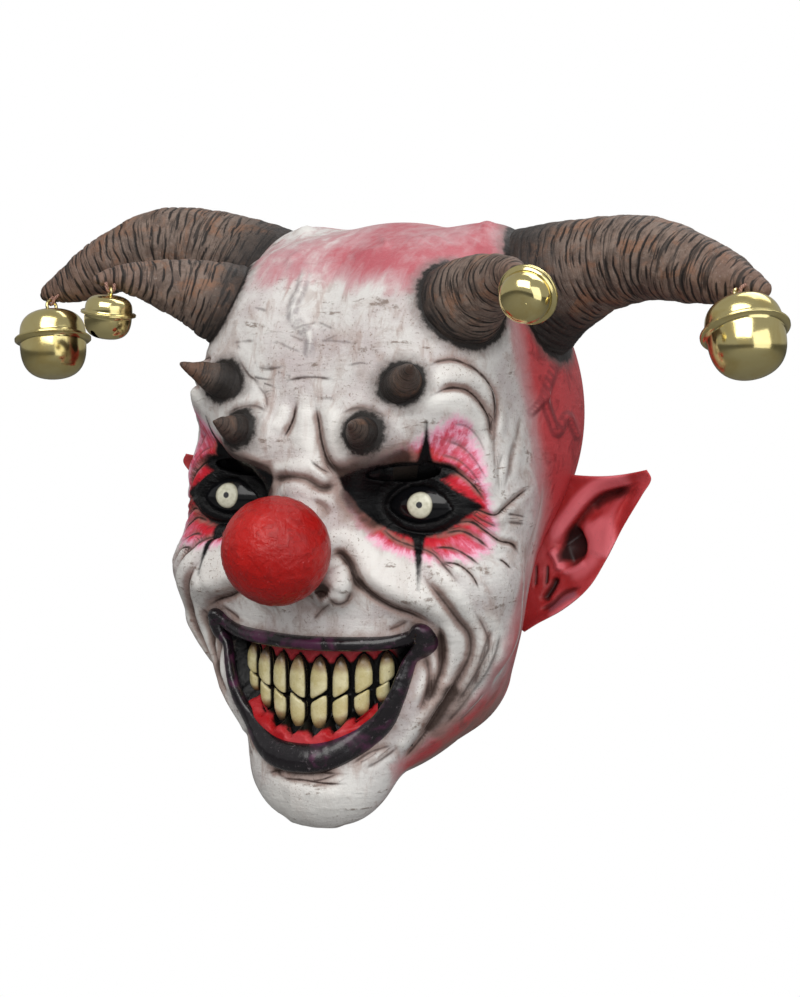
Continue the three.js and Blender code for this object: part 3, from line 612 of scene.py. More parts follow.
# Creases and rolls as they show in the photograph's frame, in pixels. A both row is on each
# side of the face, and the others only where they are seen. Right and left are the heights of
# the rolls of skin on those sides of the crease, and roll is their width.
CREASES = (
    # name, both, width, depth, right, left, roll, line, wash_and_shade, points
    ("brow_arc_outer", True, 1.1, 1.7, 1.5, 0.5, 4.0, 0.75, 0.6, (
        (428, 366), (440, 361), (454, 360), (475, 369), (490, 386), (495, 408), (493, 432))),
    ("brow_arc_inner", True, 1.1, 2.1, 1.4, 1.5, 4.0, 0.85, 0.7, (
        (432, 395), (449, 388), (466, 390), (480, 403), (489, 422), (490, 438))),
    ("lid_fold", True, 1.1, 1.8, 0.7, 1.5, 4.0, 0.8, 0.5, (
        (420, 461), (432, 466), (451, 469), (471, 483), (488, 505))),
    ("lid_line_a", True, 0.9, 0.9, 0.5, 0.5, 2.4, 0.4, 0.15, (
        (438, 454), (456, 459), (470, 470), (483, 488))),
    ("lid_line_b", True, 0.9, 0.8, 0.4, 0.4, 2.4, 0.35, 0.1, (
        (446, 440), (462, 447), (475, 460), (486, 478))),
    ("lid_line_c", True, 0.9, 0.7, 0.4, 0.4, 2.4, 0.3, 0.1, (
        (452, 424), (466, 426), (477, 436), (485, 452))),
    ("glabella", False, 1.2, 2.3, 1.0, 2.4, 6.0, 0.8, 0.6, (
        (316, 406), (319, 424), (321, 438), (328, 461), (341, 476))),
    ("glabella_short", False, 1.1, 2.0, 1.6, 1.0, 5.0, 1.0, 0.35, (
        (296, 405), (293, 420), (284, 438))),
    ("brow_far_low", False, 1.2, 1.2, 0.6, 1.0, 4.0, 0.3, 0.7, (
        (217, 440), (228, 454), (243, 463), (268, 472))),
    ("brow_ring", True, 0.8, 0.7, 0.3, 0.5, 3.0, 0.5, 0.3, (
        (342, 413), (355, 408), (371, 410), (386, 417))),
    ("nose_root", False, 1.4, 1.7, 0.8, 1.4, 5.0, 0.5, 0.8, (
        (272, 481), (287, 477), (306, 479), (323, 488), (337, 484))),
    ("nose_side", True, 1.2, 0.9, 0.5, 0.5, 4.0, 0.2, 0.5, ((313, 500), (323, 506), (330, 516))),
    ("nasolabial", True, 1.4, 2.7, 0.0, 2.8, 7.0, 1.0, 0.9, (
        (331, 556), (340, 553), (350, 565), (355, 578), (369, 592), (391, 606), (413, 614), (433, 624))),
    ("nostril", True, 2.4, 3.0, 0.0, 0.0, 5.0, 0.9, 1.5, ((314, 594), (321, 591), (328, 595))),
    ("wing_foot", True, 0.9, 1.0, 0.0, 0.4, 3.0, 0.5, 0.7, (
        (328, 598), (337, 604), (347, 601), (351, 590))),
    ("bag", True, 1.0, 1.4, 0.8, 1.3, 4.0, 0.65, 0.45, (
        (379, 524), (393, 538), (412, 546), (432, 553), (446, 568), (459, 583))),
    ("fan_a", True, 0.9, 1.2, 0.6, 0.6, 3.0, 0.85, 0.4, (
        (466, 507), (478, 510), (495, 515), (505, 507), (519, 495), (530, 487))),
    ("fan_b", True, 0.9, 1.2, 0.6, 0.6, 3.0, 0.85, 0.4, (
        (451, 524), (471, 522), (485, 531), (500, 541), (512, 544), (519, 554))),
    ("fan_c", True, 0.9, 1.1, 0.6, 0.6, 3.0, 0.75, 0.3, (
        (442, 534), (461, 531), (476, 538), (490, 549))),
    ("fan_d", True, 0.9, 1.1, 0.6, 0.6, 3.0, 0.75, 0.3, (
        (432, 548), (451, 548), (466, 555), (481, 566))),
    ("fan_e", True, 0.9, 1.1, 0.6, 0.6, 3.0, 0.8, 0.4, (
        (441, 562), (459, 565), (473, 577), (479, 589))),
    ("fan_f", True, 0.8, 0.7, 0.4, 0.4, 2.5, 0.8, 0.3, ((499, 559), (504, 562), (511, 569))),
    ("fan_g", True, 0.8, 0.7, 0.4, 0.4, 2.5, 0.6, 0.3, ((470, 512), (484, 521), (497, 527))),
    ("cheek_fold", True, 1.5, 1.8, 1.4, 1.8, 6.0, 0.5, 0.85, (
        (421, 574), (434, 589), (446, 604), (458, 620), (469, 634), (470, 653), (459, 676), (446, 699),
        (436, 718))),
    ("smile_in", True, 1.4, 2.0, 1.0, 1.6, 4.5, 0.65, 0.95, (
        (439, 622), (442, 647), (441, 669), (434, 687), (427, 706))),
    ("smile_lip", True, 1.1, 1.3, 0.8, 0.8, 3.5, 0.45, 0.6, (
        (425, 654), (429, 674), (427, 692), (418, 714))),
    ("smile_out", True, 1.2, 1.4, 1.2, 1.2, 5.0, 0.45, 0.45, (
        (472, 608), (484, 628), (489, 645), (481, 664), (468, 686), (456, 704))),
    ("smile_far", True, 1.1, 0.9, 0.8, 0.8, 5.0, 0.35, 0.3, (
        (500, 632), (496, 652), (484, 676), (466, 698))),
    ("jaw_fold", True, 1.2, 1.6, 1.6, 0.0, 5.0, 0.6, 0.5, (
        (446, 699), (436, 716), (424, 734), (413, 748), (404, 758))),
    ("jaw_shade", True, 4.0, 0.8, 0.0, 0.0, 5.0, 0.0, 0.9, (
        (458, 684), (450, 702), (438, 722), (426, 738))),
    ("jaw_line_a", True, 0.9, 0.5, 0.3, 0.3, 3.0, 0.4, 0.3, (
        (493, 628), (485, 645), (477, 672), (474, 688))),
    ("jaw_line_b", True, 0.9, 0.5, 0.3, 0.3, 3.0, 0.3, 0.3, ((474, 688), (460, 708), (446, 724))),
    ("jaw_line_c", True, 0.9, 0.5, 0.3, 0.3, 3.0, 0.25, 0.2, ((484, 690), (472, 708), (458, 722))),
    ("chin_fold", False, 1.1, 1.5, 0.9, 0.5, 4.0, 0.95, 1.0, (
        (268, 773), (282, 770), (313, 772), (345, 774))),
    ("chin_low", False, 1.0, 1.2, 0.8, 0.4, 4.0, 0.9, 0.7, (
        (278, 778), (304, 780), (322, 783), (345, 784))),
    ("lip_side_a", True, 0.8, 0.6, 0.3, 0.3, 2.5, 0.55, 0.4, ((352, 764), (371, 752), (393, 745))),
    ("lip_side_b", True, 0.8, 0.6, 0.3, 0.3, 2.5, 0.5, 0.3, ((366, 768), (382, 759), (398, 747))),
    ("lip_top_a", False, 0.8, 0.5, 0.3, 0.3, 2.5, 0.45, 0.35, ((331, 603), (322, 610), (313, 620))),
    ("lip_top_b", True, 0.8, 0.6, 0.3, 0.3, 2.5, 0.5, 0.4, ((408, 621), (396, 627), (388, 630))),
    ("forehead_a", False, 0.8, 0.8, 0.4, 0.4, 2.6, 0.75, 0.3, ((285, 381), (308, 377), (332, 379))),
    ("forehead_b", True, 0.8, 0.7, 0.4, 0.4, 2.6, 0.6, 0.2, ((350, 365), (359, 363), (369, 364))),
    ("forehead_c", False, 0.8, 0.6, 0.3, 0.3, 2.6, 0.4, 0.15, ((278, 342), (290, 348), (301, 352))),
    ("forehead_d", True, 0.8, 0.6, 0.3, 0.3, 2.6, 0.4, 0.15, ((320, 341), (336, 341), (353, 343))),
    ("forehead_e", False, 0.8, 0.6, 0.3, 0.3, 2.6, 0.45, 0.15, (
        (234, 343), (244, 341), (254, 341))),
    ("forehead_f", False, 0.8, 0.6, 0.3, 0.3, 2.6, 0.45, 0.15, (
        (254, 307), (260, 309), (267, 311))),
    ("forehead_g", True, 0.8, 0.6, 0.3, 0.3, 2.6, 0.35, 0.1, ((318, 322), (325, 325), (333, 329))),
    ("forehead_h", False, 0.7, 0.6, 0.3, 0.3, 2.4, 0.6, 0.2, ((258, 367), (269, 369), (284, 366))),
    ("forehead_i", False, 0.7, 0.6, 0.3, 0.3, 2.4, 0.7, 0.3, (
        (239, 359), (248, 374), (256, 380), (278, 388))),
    ("forehead_j", False, 0.7, 0.6, 0.3, 0.3, 2.4, 0.4, 0.3, ((257, 385), (266, 396), (267, 408))),
    ("forehead_k", False, 0.7, 0.5, 0.3, 0.3, 2.4, 0.35, 0.15, (
        (314, 399), (324, 398), (334, 399))),
    ("bridge_line", False, 0.8, 0.7, 0.4, 0.4, 2.6, 0.6, 0.3, ((311, 461), (320, 468), (329, 473))),
    ("temple_cross_a", True, 0.7, 0.5, 0.3, 0.3, 2.4, 0.6, 0.2, (
        (507, 514), (516, 515), (525, 517))),
    ("temple_cross_b", True, 0.7, 0.5, 0.3, 0.3, 2.4, 0.5, 0.2, (
        (508, 522), (516, 523), (524, 524))),
    ("temple_c", True, 0.9, 0.5, 0.3, 0.3, 3.0, 0.3, 0.3, ((497, 405), (494, 440), (495, 472))),
    ("temple_d", True, 0.9, 0.5, 0.3, 0.3, 3.0, 0.25, 0.3, ((521, 415), (514, 450), (504, 490))),
    # painted shade under the brow and at the inner corner of each eye
    ("eye_shade_up", True, 3.0, 0.0, 0.0, 0.0, 4.0, 0.0, 1.5, (
        (336, 482), (350, 473), (372, 466), (396, 459), (420, 455))),
    ("eye_shade_low", True, 2.4, 0.0, 0.0, 0.0, 4.0, 0.0, 1.3, (
        (340, 482), (352, 502), (366, 518), (384, 529))),
    ("temple_a", True, 0.9, 0.6, 0.3, 0.3, 3.0, 0.3, 0.2, ((503, 452), (498, 470), (499, 490))),
    ("temple_b", True, 0.9, 0.5, 0.3, 0.3, 3.0, 0.25, 0.2, ((515, 440), (510, 458), (512, 476))),
)
RIDGES = (
    # name, both, width, height, points
    ("lid_upper", True, 1.5, 1.6, ((405, 478), (419, 476), (434, 480), (448, 488), (463, 503))),
    ("lid_lower", True, 1.4, 1.4, ((398, 521), (410, 527), (428, 529), (444, 523), (458, 511))),
    ("brow_roll", True, 4.0, 1.5, ((437, 376), (461, 374), (480, 384), (493, 403))),
    ("brow_bone", True, 5.0, 1.6, ((424, 402), (447, 404), (471, 413), (483, 432))),
    ("glabella_roll", False, 5.0, 1.4, ((306, 404), (305, 430), (303, 455))),
    ("cheek_roll", True, 9.0, 2.4, ((372, 564), (395, 580), (420, 590))),
    ("nose_wing", True, 5.0, 5.0, ((336, 568), (340, 579), (336, 592))),
    ("spike_knob", True, 9.0, 1.6, ((352, 436), (372, 440))),
    ("chin_ball", False, 13.0, 3.2, ((284, 804), (346, 804))),
    ("crown_left_knob", False, 4.5, 2.6, ((301, 228), (309, 230))),
    ("crown_right_knob", False, 4.5, 2.6, ((482, 229), (492, 230))),
)
VEINS = (
    # name, both, width, height, points
    ("crown_vein", False, 1.6, 1.8, (
        (305, 269), (302, 286), (295, 302), (292, 315), (302, 328), (310, 336), (309, 352))),
    ("crown_branch", False, 1.4, 1.6, ((305, 269), (290, 264), (295, 255))),
    ("crown_bend", False, 1.5, 1.8, ((357, 256), (378, 250), (387, 245), (382, 239))),
    ("crown_wrinkle_a", False, 1.2, 1.3, ((410, 238), (424, 241), (428, 236), (452, 246))),
    ("crown_wrinkle_b", False, 1.2, 1.3, ((455, 236), (470, 240), (482, 248), (497, 250))),
    ("side_zigzag", True, 1.6, 1.7, (
        (557, 360), (550, 380), (545, 396), (553, 424), (557.5, 433), (567, 415.5), (578, 436))),
    ("side_branch", True, 1.4, 1.4, ((547, 392), (541, 402), (532, 412))),
)
CREASE_SHOWN = 2.0             # millimetres either side of a crease that its dark line may cover
CREASE_FULL = 0.6              # share of that before the line starts to fade
LINE_POWER = 1.25              # strength of the dark lines in all
CREASE_WASH = 2.0              # reach of a crease's brown wash and painted shade, in crease widths
EYE_RED = (
    (345, 500), (350, 472), (380, 457), (411, 441), (440, 420), (459, 410), (474, 424), (484, 450),
    (491, 480), (494, 505), (500, 530), (494, 553), (472, 566), (440, 568), (404, 560), (372, 546),
    (353, 524),
)
EYE_RED_FADE = (-8.0, 18.0)
EYE_RED_DEEP = 5.2             # millimetres from the black over which the red pales
EYE_RED_PALE = 0.42            # strength of the red away from the black
EYE_MIDDLE = (419.0, 500.0)
EYE_RAY_STRETCH = 0.012        # how fast the strokes of red change outwards, for each millimetre
EYE_BLACK = (
    (340, 478), (355, 473), (375, 469), (393, 465), (411, 462), (430, 462), (438, 478), (451, 489),
    (469, 500), (483, 507), (467, 514), (458, 523), (440, 533), (425, 536), (411, 536), (393, 531),
    (378, 523), (362, 511), (353, 498), (344, 489),
)
EYE_SPIKE_UP = (
    (412, 476), (421, 452), (425, 436), (426.3, 421), (428, 436), (429.5, 452), (436, 476),
)
EYE_SPIKE_DOWN = (
    (409, 528), (414.5, 545), (416, 560), (418.2, 590), (421, 560), (423, 545), (428, 528),
)
HOOD_EDGE = {
    "down": (300, 330, 380, 433, 495, 540, 578, 620, 660, 690, 715, 740, 765),
    "across": (498, 508, 516, 526, 534, 534, 521, 508, 496, 478, 452, 420, 390),
    "fade": (-12.0, 30.0),
}
HOOD_BACK = (-18.0, 18.0)      # depth over which the hood turns red all round
# Below the eyes the hood's red is fainter and comes forward
HOOD_JAW = {"under": (30.0, 75.0), "forward": 34.0, "power": 0.62}
CROWN_PINK = (95.0, 117.0)     # height over which the crown turns pink
CROWN_PALE = {"height": (118.0, 134.0), "power": 0.35}     # and then pale again
CROWN_SIDE = {"across": (-8.0, 32.0), "power": 0.6}        # to the right, where it is less pink
COLLAR_FAR = 20.0
COLLAR_STEPS = {"horn": 40, "spike": 12}
BLACK_FAR = 9.0
MOUTH_BLACK = 1.0              # black as painted shade inside the mouth, past the middle of the lips
HOLLOW_PROBE = 6.0
HOLLOW_SHADE = 0.9             # painted brown shade in the hollows of the form
LIP_SHADE = {"power": 0.4, "reach": 3.2, "behind": 30.0}   # round the lips
NECK_SHADE = {"power": 0.8, "reach": 20.0, "behind": (-84.0, -58.0)}   # over the neck edge
ROLL_SPREAD = 0.62             # width of a roll beside a crease, as a share of its distance
RIDGE_END = 0.4                # height left at a ridge's ends
LINE_SEEN = (0.03, 0.25)       # how squarely the skin faces the camera where lines start to show
PAINT_SEEN = (0.02, 0.25)      # and where paint does


def skin_relief(p, normal):
    """How far the folds, rolls and veins lift each skin point."""
    lift = np.zeros(len(p))
    for _, both, width, depth, right, left, roll, _, _, points in CREASES:
        gap, ends, shown = drawn_line(p, normal, both, points)
        away = np.abs(gap)
        shape = np.where(gap > 0, right, left) * np.exp(-((away / roll - 1.0) / ROLL_SPREAD) ** 2)
        shape -= depth * np.exp(-(away / width) ** 2)
        lift += shape * shown * ends
    for _, both, width, height, points in RIDGES + VEINS:
        gap, ends, shown = drawn_line(p, normal, both, points)
        lift += height * np.exp(-(gap / width) ** 2) * shown * (RIDGE_END + (1.0 - RIDGE_END) * ends)
    return lift


def flip_right(p):
    """Factors that mirror the points of the right side to the left."""
    return np.where(p[:, :1] < 0, np.array((-1.0, 1.0, 1.0)), 1.0)


def drawn_line(p, normal, both, points):
    """Signed millimetres to a drawn line, how far it has not ended there, and whether it shows."""
    if both:
        flip = flip_right(p)
        p = p * flip
        normal = normal * flip
    pixels, scale = seen_at(p)
    gap, along = line_field(pixels, points)
    ends = ease(along, 0.0, LINE_FADE) * ease(1.0 - along, 0.0, LINE_FADE)
    ends = LINE_END + (1.0 - LINE_END) * ends
    return gap / scale, ends, ease(facing(p, normal), *LINE_SEEN)


def horn_line(rows, side, count):
    """Centre line and radius of a horn from its foot to its tip."""
    table = [(side * x, y, z + (lift if side < 0 else 0), radius) for x, y, z, radius, lift in rows]
    line = spline([row[:3] for row in table], count)
    radii = spline([(row[3], i, 0) for i, row in enumerate(table)], count)[:, 0]
    return line, radii


def collar_gap(p):
    """Millimetres from each point to the nearest horn or spike."""
    nearest = np.full(len(p), COLLAR_FAR)
    for rows in (REAR_HORN, FRONT_HORN):
        for _, side in SIDES:
            line, radii = horn_line(rows, side, COLLAR_STEPS["horn"])
            for centre, radius in zip(line, radii):
                nearest = np.minimum(nearest, np.linalg.norm(p - centre, axis=1) - radius)
    for _, start, end, radius in SPIKES:
        for _, side in SIDES:
            flip = np.array((side, 1, 1))
            for share in np.linspace(0.0, 1.0, COLLAR_STEPS["spike"]):
                centre = (np.array(start) + share * (np.array(end) - np.array(start))) * flip
                reach = radius * np.interp(share, SPIKE_ALONG, SPIKE_SCALE)
                nearest = np.minimum(nearest, np.linalg.norm(p - centre, axis=1) - reach)
    return nearest


def lip_gap(p):
    """Millimetres from each point to the edge of the lips, in the front view."""
    line, size = lip_line()
    nearest = np.full(len(p), FAR_OFF)
    front = p[:, [0, 2]]
    for centre, half in zip(line[::2, [0, 2]], size[::2, 0]):
        nearest = np.minimum(nearest, np.linalg.norm(front - centre, axis=1) - half)
    return np.where(p[:, 1] < GRIN_FLOOR["at"][1] + LIP_SHADE["behind"], nearest, FAR_OFF)


def crease_paint(p, normal):
    """Signed gap to the nearest crease, its line's strength there, and the wash and painted shade of all
    of them.
    """
    side = np.full(len(p), FAR_OFF)
    power = np.zeros(len(p))
    wash_and_shade = np.zeros(len(p))
    for _, both, width, _, _, _, _, line, soft, points in CREASES:
        gap, ends, shown = drawn_line(p, normal, both, points)
        away = np.abs(gap)
        nearer = away < np.abs(side)
        side = np.where(nearer, gap, side)
        fade = 1.0 - ease(away, CREASE_FULL * CREASE_SHOWN, CREASE_SHOWN)
        power = np.where(nearer, min(LINE_POWER * line, 1.0) * ends * shown * fade, power)
        wash_and_shade += soft * shown * ends * np.exp(-(away / (CREASE_WASH * width)) ** 2)
    return np.clip(side, -CREASE_SHOWN, CREASE_SHOWN), power, wash_and_shade


def in_slit(p):
    """Millimetres outside the nearest vision slit, in the front view."""
    across = (np.abs(p[:, 0]) - SLIT["x"]) / (SLIT["width"] / 2)
    tilted = SLIT["z"] + (np.abs(p[:, 0]) - SLIT["x"]) * math.tan(math.radians(SLIT["tilt"]))
    up = (p[:, 2] - tilted) / (SLIT["height"] / 2)
    away = (np.hypot(across, up) - 1.0) * SLIT["height"] / 2
    return np.where(p[:, 1] < SLIT["y_to"], away, FAR_OFF)


def hollow_shade(p, normal):
    """Painted brown shade in the hollows, round the lips and over the neck edge."""
    hollow = 1.0 - skin_distance(p + normal * HOLLOW_PROBE) / HOLLOW_PROBE
    shade = np.clip(hollow, 0.0, 1.0) * HOLLOW_SHADE
    shade += LIP_SHADE["power"] * np.exp(-(np.maximum(lip_gap(p), 0.0) / LIP_SHADE["reach"]) ** 2)
    over_rim = np.maximum(p[:, 2] - np.interp(p[:, 1], RIM_Y, RIM_Z), 0.0)
    neck = np.exp(-(over_rim / NECK_SHADE["reach"]) ** 2) * ease(p[:, 1], *NECK_SHADE["behind"])
    return shade + NECK_SHADE["power"] * neck * (1.0 - ease(p[:, 1], *HOOD_BACK))


# Painted shade beside each raised vein, strongest one vein width out from its middle
def paint_vein_side_shade(p, normal):
    vein_side_shade = np.zeros(len(p))
    for _, both, width, _, points in VEINS:
        gap, _, seen = drawn_line(p, normal, both, points)
        vein_side_shade = np.maximum(vein_side_shade, seen * np.exp(-((np.abs(gap) - width) / width) ** 2))
    return vein_side_shade


def eye_make_up(p, pixels, scale, shown):
    """Strength of the red round the eyes, and millimetres inside the black of the eyes and of the painted
    shade on the slits' walls and in the mouth.
    """
    red = ease(outline_depth(pixels, EYE_RED), *EYE_RED_FADE) * shown
    black = outline_depth(pixels, EYE_BLACK)
    near = np.exp(-np.maximum(-black / scale, 0.0) / EYE_RED_DEEP)
    red = red * (EYE_RED_PALE + (1.0 - EYE_RED_PALE) * near)
    for spike in (EYE_SPIKE_UP, EYE_SPIKE_DOWN):
        black = np.maximum(black, outline_depth(pixels, spike))
    black = np.where(shown > 0, black / scale, -BLACK_FAR)
    # black on and round the slits' cut walls, painted shade
    black = np.maximum(black, SLIT_BLACK - in_slit(p))
    # black inside the mouth, painted shade
    mouth = outline_depth(p[:, [0, 2]], lip_outline())
    black = np.where(p[:, 1] < GRIN_FLOOR["at"][1], np.maximum(black, mouth + MOUTH_BLACK), black)
    return red, np.clip(black, -BLACK_FAR, BLACK_FAR)


def hood_paint(p, pixels, shown):
    """Strength of the hood's red and of the crown's pink."""
    edge = np.interp(pixels[:, 1], HOOD_EDGE["down"], HOOD_EDGE["across"])
    hood = ease(pixels[:, 0] - edge, *HOOD_EDGE["fade"]) * shown
    hood = np.maximum(hood, ease(p[:, 1], *HOOD_BACK))
    forward = HOOD_JAW["forward"] * ease(-p[:, 2], *HOOD_JAW["under"])
    hood = np.maximum(hood, HOOD_JAW["power"] * ease(p[:, 1] + forward, *HOOD_BACK))
    crown = ease(p[:, 2], *CROWN_PINK)
    crown *= 1.0 - CROWN_PALE["power"] * ease(p[:, 2], *CROWN_PALE["height"])
    crown *= 1.0 - CROWN_SIDE["power"] * ease(-p[:, 0], *CROWN_SIDE["across"])
    return hood, crown


def paint_skin(piece):
    p = face_points(piece)
    normal = normals_of(piece)
    flip = flip_right(p)
    left = p * flip
    pixels, scale = seen_at(left)
    shown = ease(facing(left, normal * flip), *PAINT_SEEN)
    side, power, wash_and_shade = crease_paint(p, normal)
    wash_and_shade += hollow_shade(p, normal)
    red, black = eye_make_up(p, pixels, scale, shown)
    hood, crown = hood_paint(p, pixels, shown)
    around = pixels - np.array(EYE_MIDDLE)
    eye_far = np.linalg.norm(around, axis=1) / scale
    around /= np.maximum(np.linalg.norm(around, axis=1, keepdims=True), TINY)
    values = {
        "crease_side": side, "crease_power": power, "wash_and_shade": wash_and_shade, "vein_side_shade": paint_vein_side_shade(p, normal),
        "eye_red": red, "black": black, "hood": hood, "crown": crown, "collar": collar_gap(p),
        "eye_x": around[:, 0], "eye_z": around[:, 1], "eye_far": EYE_RAY_STRETCH * eye_far,
    }
    for name, value in values.items():
        paint(piece, name, value)


def cut_slit(skin, side):
    """Cuts one rounded vision slit through the wall."""
    deselect()
    bpy.ops.mesh.primitive_cylinder_add(vertices=SLIT_SIDES, radius=0.5, depth=1.0)
    cutter = bpy.context.active_object
    size = np.array((SLIT["width"], SLIT["height"], SLIT["y_to"] - SLIT["y_from"])) * MM
    at = (side * SLIT["x"], (SLIT["y_from"] + SLIT["y_to"]) / 2, SLIT["z"])
    tilt = Matrix.Rotation(-side * math.radians(SLIT["tilt"]), 4, "Y")
    forwards = Matrix.Rotation(math.pi / 2, 4, "X")
    stretch = Matrix.Diagonal((*size, 1.0))
    cutter.matrix_world = Matrix.Translation(row_point(at)) @ tilt @ forwards @ stretch
    cut_out(skin, cutter)


def cut_out(piece, cutter):
    modifier = piece.modifiers.new("cut", "BOOLEAN")
    modifier.operation = "DIFFERENCE"
    modifier.solver = "FAST"
    modifier.object = cutter
    use_only(piece)
    bpy.ops.object.modifier_apply(modifier=modifier.name)
    bpy.data.objects.remove(cutter)


def face_skin():
    last = OUTER_ROWS + 1 + INNER_ROWS
    skin, u, v = grid_sheet("face_skin", COLUMNS, last)
    share = 2.0 * u - 1.0
    theta = np.sign(share) * np.radians(np.interp(np.abs(share), *COLUMN_TURN))
    columns, which = np.unique(np.round(theta, 9), return_inverse=True)
    rims = rim_angles(columns)[which]
    row = np.rint(v * last).astype(int)
    outer = row <= OUTER_ROWS
    down = np.where(outer, row / OUTER_ROWS, (last - row) / INNER_ROWS)
    denser = np.interp(down, (0.0, CROWN_ROWS[0], 1.0), (0.0, CROWN_ROWS[1], 1.0))
    down = np.where(outer, denser, down)
    rays = ray_directions(theta, rims * down)
    points = walk_in(rays, np.where(outer, 0.0, -WALL))
    normal = slope(skin_distance, points[outer])
    lift = np.zeros(len(points))
    lift[outer] = skin_relief(points[outer], normal)
    points[outer] += normal * lift[outer, None]
    put_vertices(skin, points)
    # the folds' lift, for drybrushed paint and a painted highlight on the raised ones
    paint(skin, "drybrush_and_highlight", lift)
    paint(skin, "inside", np.where(outer, 0.0, 1.0))
    weld(skin)
    for _, side in SIDES:
        cut_slit(skin, side)
    paint_skin(skin)
    return finish_piece(skin, skin_paint(), "skin", "face_shell")


# Horns: centre line and radius from inside the head to the tip. lift raises the right copy.
REAR_HORN = (
    # x, y, z, radius, lift
    (50, 8, 90, 38, 0),
    (74, 5, 104, 31, 2),
    (104, -2, 114, 23, 8),
    (132, -10, 117, 19.5, 10),
    (158, -18, 112, 16, 7),
    (180, -25, 106, 10.5, 2),
    (197, -30, 101, 3, 0),
)
FRONT_HORN = (
    (46, -44, 84, 24, 0),
    (63, -61, 96, 20.5, 0),
    (78, -71, 103, 15.5, 0),
    (92, -82, 107, 10.5, 0),
    (103, -94, 109, 6, 0),
    (111, -103, 108, 2, 0),
)
SPIKES = (
    # name, foot, tip, radius
    ("upper", (41, -80, 56), (60, -107, 69), 11),
    ("lower", (31, -90, 36), (35, -118, 43), 10),
)
HORNS = (
    # name, rows, sides, steps, dark foot from and to
    ("rear", REAR_HORN, 64, 320, (30.0, 85.0)),
    ("front", FRONT_HORN, 56, 220, (22.0, 52.0)),
)
HORN_GROOVES = {"spacing": 3.9, "width": 0.13, "depth": 0.6, "lump": 0.7, "drawn": 1.0}
SPIKE_GROOVES = {"spacing": 2.6, "width": 0.16, "depth": 0.08, "lump": 0.6, "drawn": 0.4}
# Slow and quick bends of the rings, in spacings, how the rings fade in and out, and the soft lumps
RING_WANDER = {"power": 0.6, "across": 26.0, "along": 34.0, "start": 0.0}
RING_RIPPLE = {"power": 0.34, "across": 7.0, "along": 10.0, "start": 40.0}
RING_BREAK = {"middle": 0.5, "power": 1.5, "across": 9.0, "each": 3.7}
HORN_LUMP = {"across": 8.0, "along": 6.0, "start": 90.0}
HORN_LEAST = 0.4               # of the plain radius, left in the deepest groove
SPIKE_ALONG = (0.0, 0.25, 0.45, 0.8, 0.95, 1.0)
SPIKE_SCALE = (1.0, 0.88, 0.72, 0.34, 0.13, 0.05)
SPIKE_SIDES = 40
SPIKE_STEPS = 80
SPIKE_FOOT = (12.0, 27.0)      # from the foot, where its black ends
SPIKE_BOW = np.array((0.0, 0.0, 1.6))   # four times the sag of its middle
HORN_SOOT = 0.24
SPIKE_SOOT = 0.74
UPRIGHT = 0.9
RING_STRETCH = 0.07            # how fast the fine rings change round a horn, beside along it


def ring_frame(direction):
    """Two unit vectors square to each direction, the first level."""
    steep = np.abs(direction[:, 2:]) > UPRIGHT
    reference = np.where(steep, np.array((0.0, 1.0, 0.0)), np.array((0.0, 0.0, 1.0)))
    across = np.cross(reference, direction)
    across /= np.linalg.norm(across, axis=1, keepdims=True)
    return across, np.cross(direction, across)


def round_line(line, station, turn):
    """Unit vectors outwards at each station and turn, and the length of the line up to each station."""
    direction = np.gradient(line, axis=0)
    direction /= np.linalg.norm(direction, axis=1, keepdims=True)
    across, over = ring_frame(direction)
    outwards = across[station] * np.cos(turn)[:, None] + over[station] * np.sin(turn)[:, None]
    travel = np.concatenate(([0.0], np.cumsum(np.linalg.norm(np.diff(line, axis=0), axis=1))))
    return outwards, travel


def rolled_horn(name, line, radii, sides, grooves, foot):
    """A ringed horn along a line: radius lost to ring grooves and gained by soft lumps."""
    steps = len(line) - 1
    horn, u, v = grid_sheet(name, sides, steps)
    station = np.rint(v * steps).astype(int)
    turn = 2.0 * np.pi * u
    outwards, travel = round_line(line, station, turn)
    groove, lump = ring_grooves(travel[station], radii[station], turn, grooves)
    radius = radii[station] - grooves["depth"] * groove + grooves["lump"] * lump
    blunt = np.clip((travel[station] - travel[-1]) / radii[-1] + 1.0, 0.0, 1.0)
    radius = np.maximum(radius, HORN_LEAST * radii[station]) * np.sqrt(1.0 - blunt ** 2)
    put_vertices(horn, line[station] + outwards * radius[:, None])
    paint(horn, "groove", grooves["drawn"] * groove)
    paint(horn, "foot", 1.0 - ease(travel[station], *foot))
    paint(horn, "along", travel[station] / travel[-1])
    paint(horn, "ring_place", travel[station])
    paint(horn, "ring_x", RING_STRETCH * radii[station] * np.cos(turn))
    paint(horn, "ring_y", RING_STRETCH * radii[station] * np.sin(turn))
    weld(horn)
    return horn


def noise_place(x, y, s, wave):
    """Where a point round and along a horn lies in a wave's noise."""
    return Vector((x / wave["across"], y / wave["across"], s / wave["along"] + wave["start"]))


def ring_grooves(travel, radii, turn, grooves):
    """Broken rings round a horn, 1 in a groove, and soft lumps between -1 and 1."""
    groove = np.zeros(len(travel))
    lump = np.zeros(len(travel))
    spacing = grooves["spacing"]
    for i, (s, r, a) in enumerate(zip(travel, radii, turn)):
        x = r * math.cos(a)
        y = r * math.sin(a)
        phase = s / spacing
        for wave in (RING_WANDER, RING_RIPPLE):
            phase += wave["power"] * noise.noise(noise_place(x, y, s, wave))
        ring = math.exp(-((phase - math.floor(phase) - 0.5) / grooves["width"]) ** 2)
        reach = RING_BREAK["across"]
        at = Vector((x / reach, y / reach, math.floor(phase) * RING_BREAK["each"]))
        gate = RING_BREAK["middle"] + RING_BREAK["power"] * noise.noise(at)
        groove[i] = ring * min(max(gate, 0.0), 1.0)
        lump[i] = noise.noise(noise_place(x, y, s, HORN_LUMP))
    return groove, lump


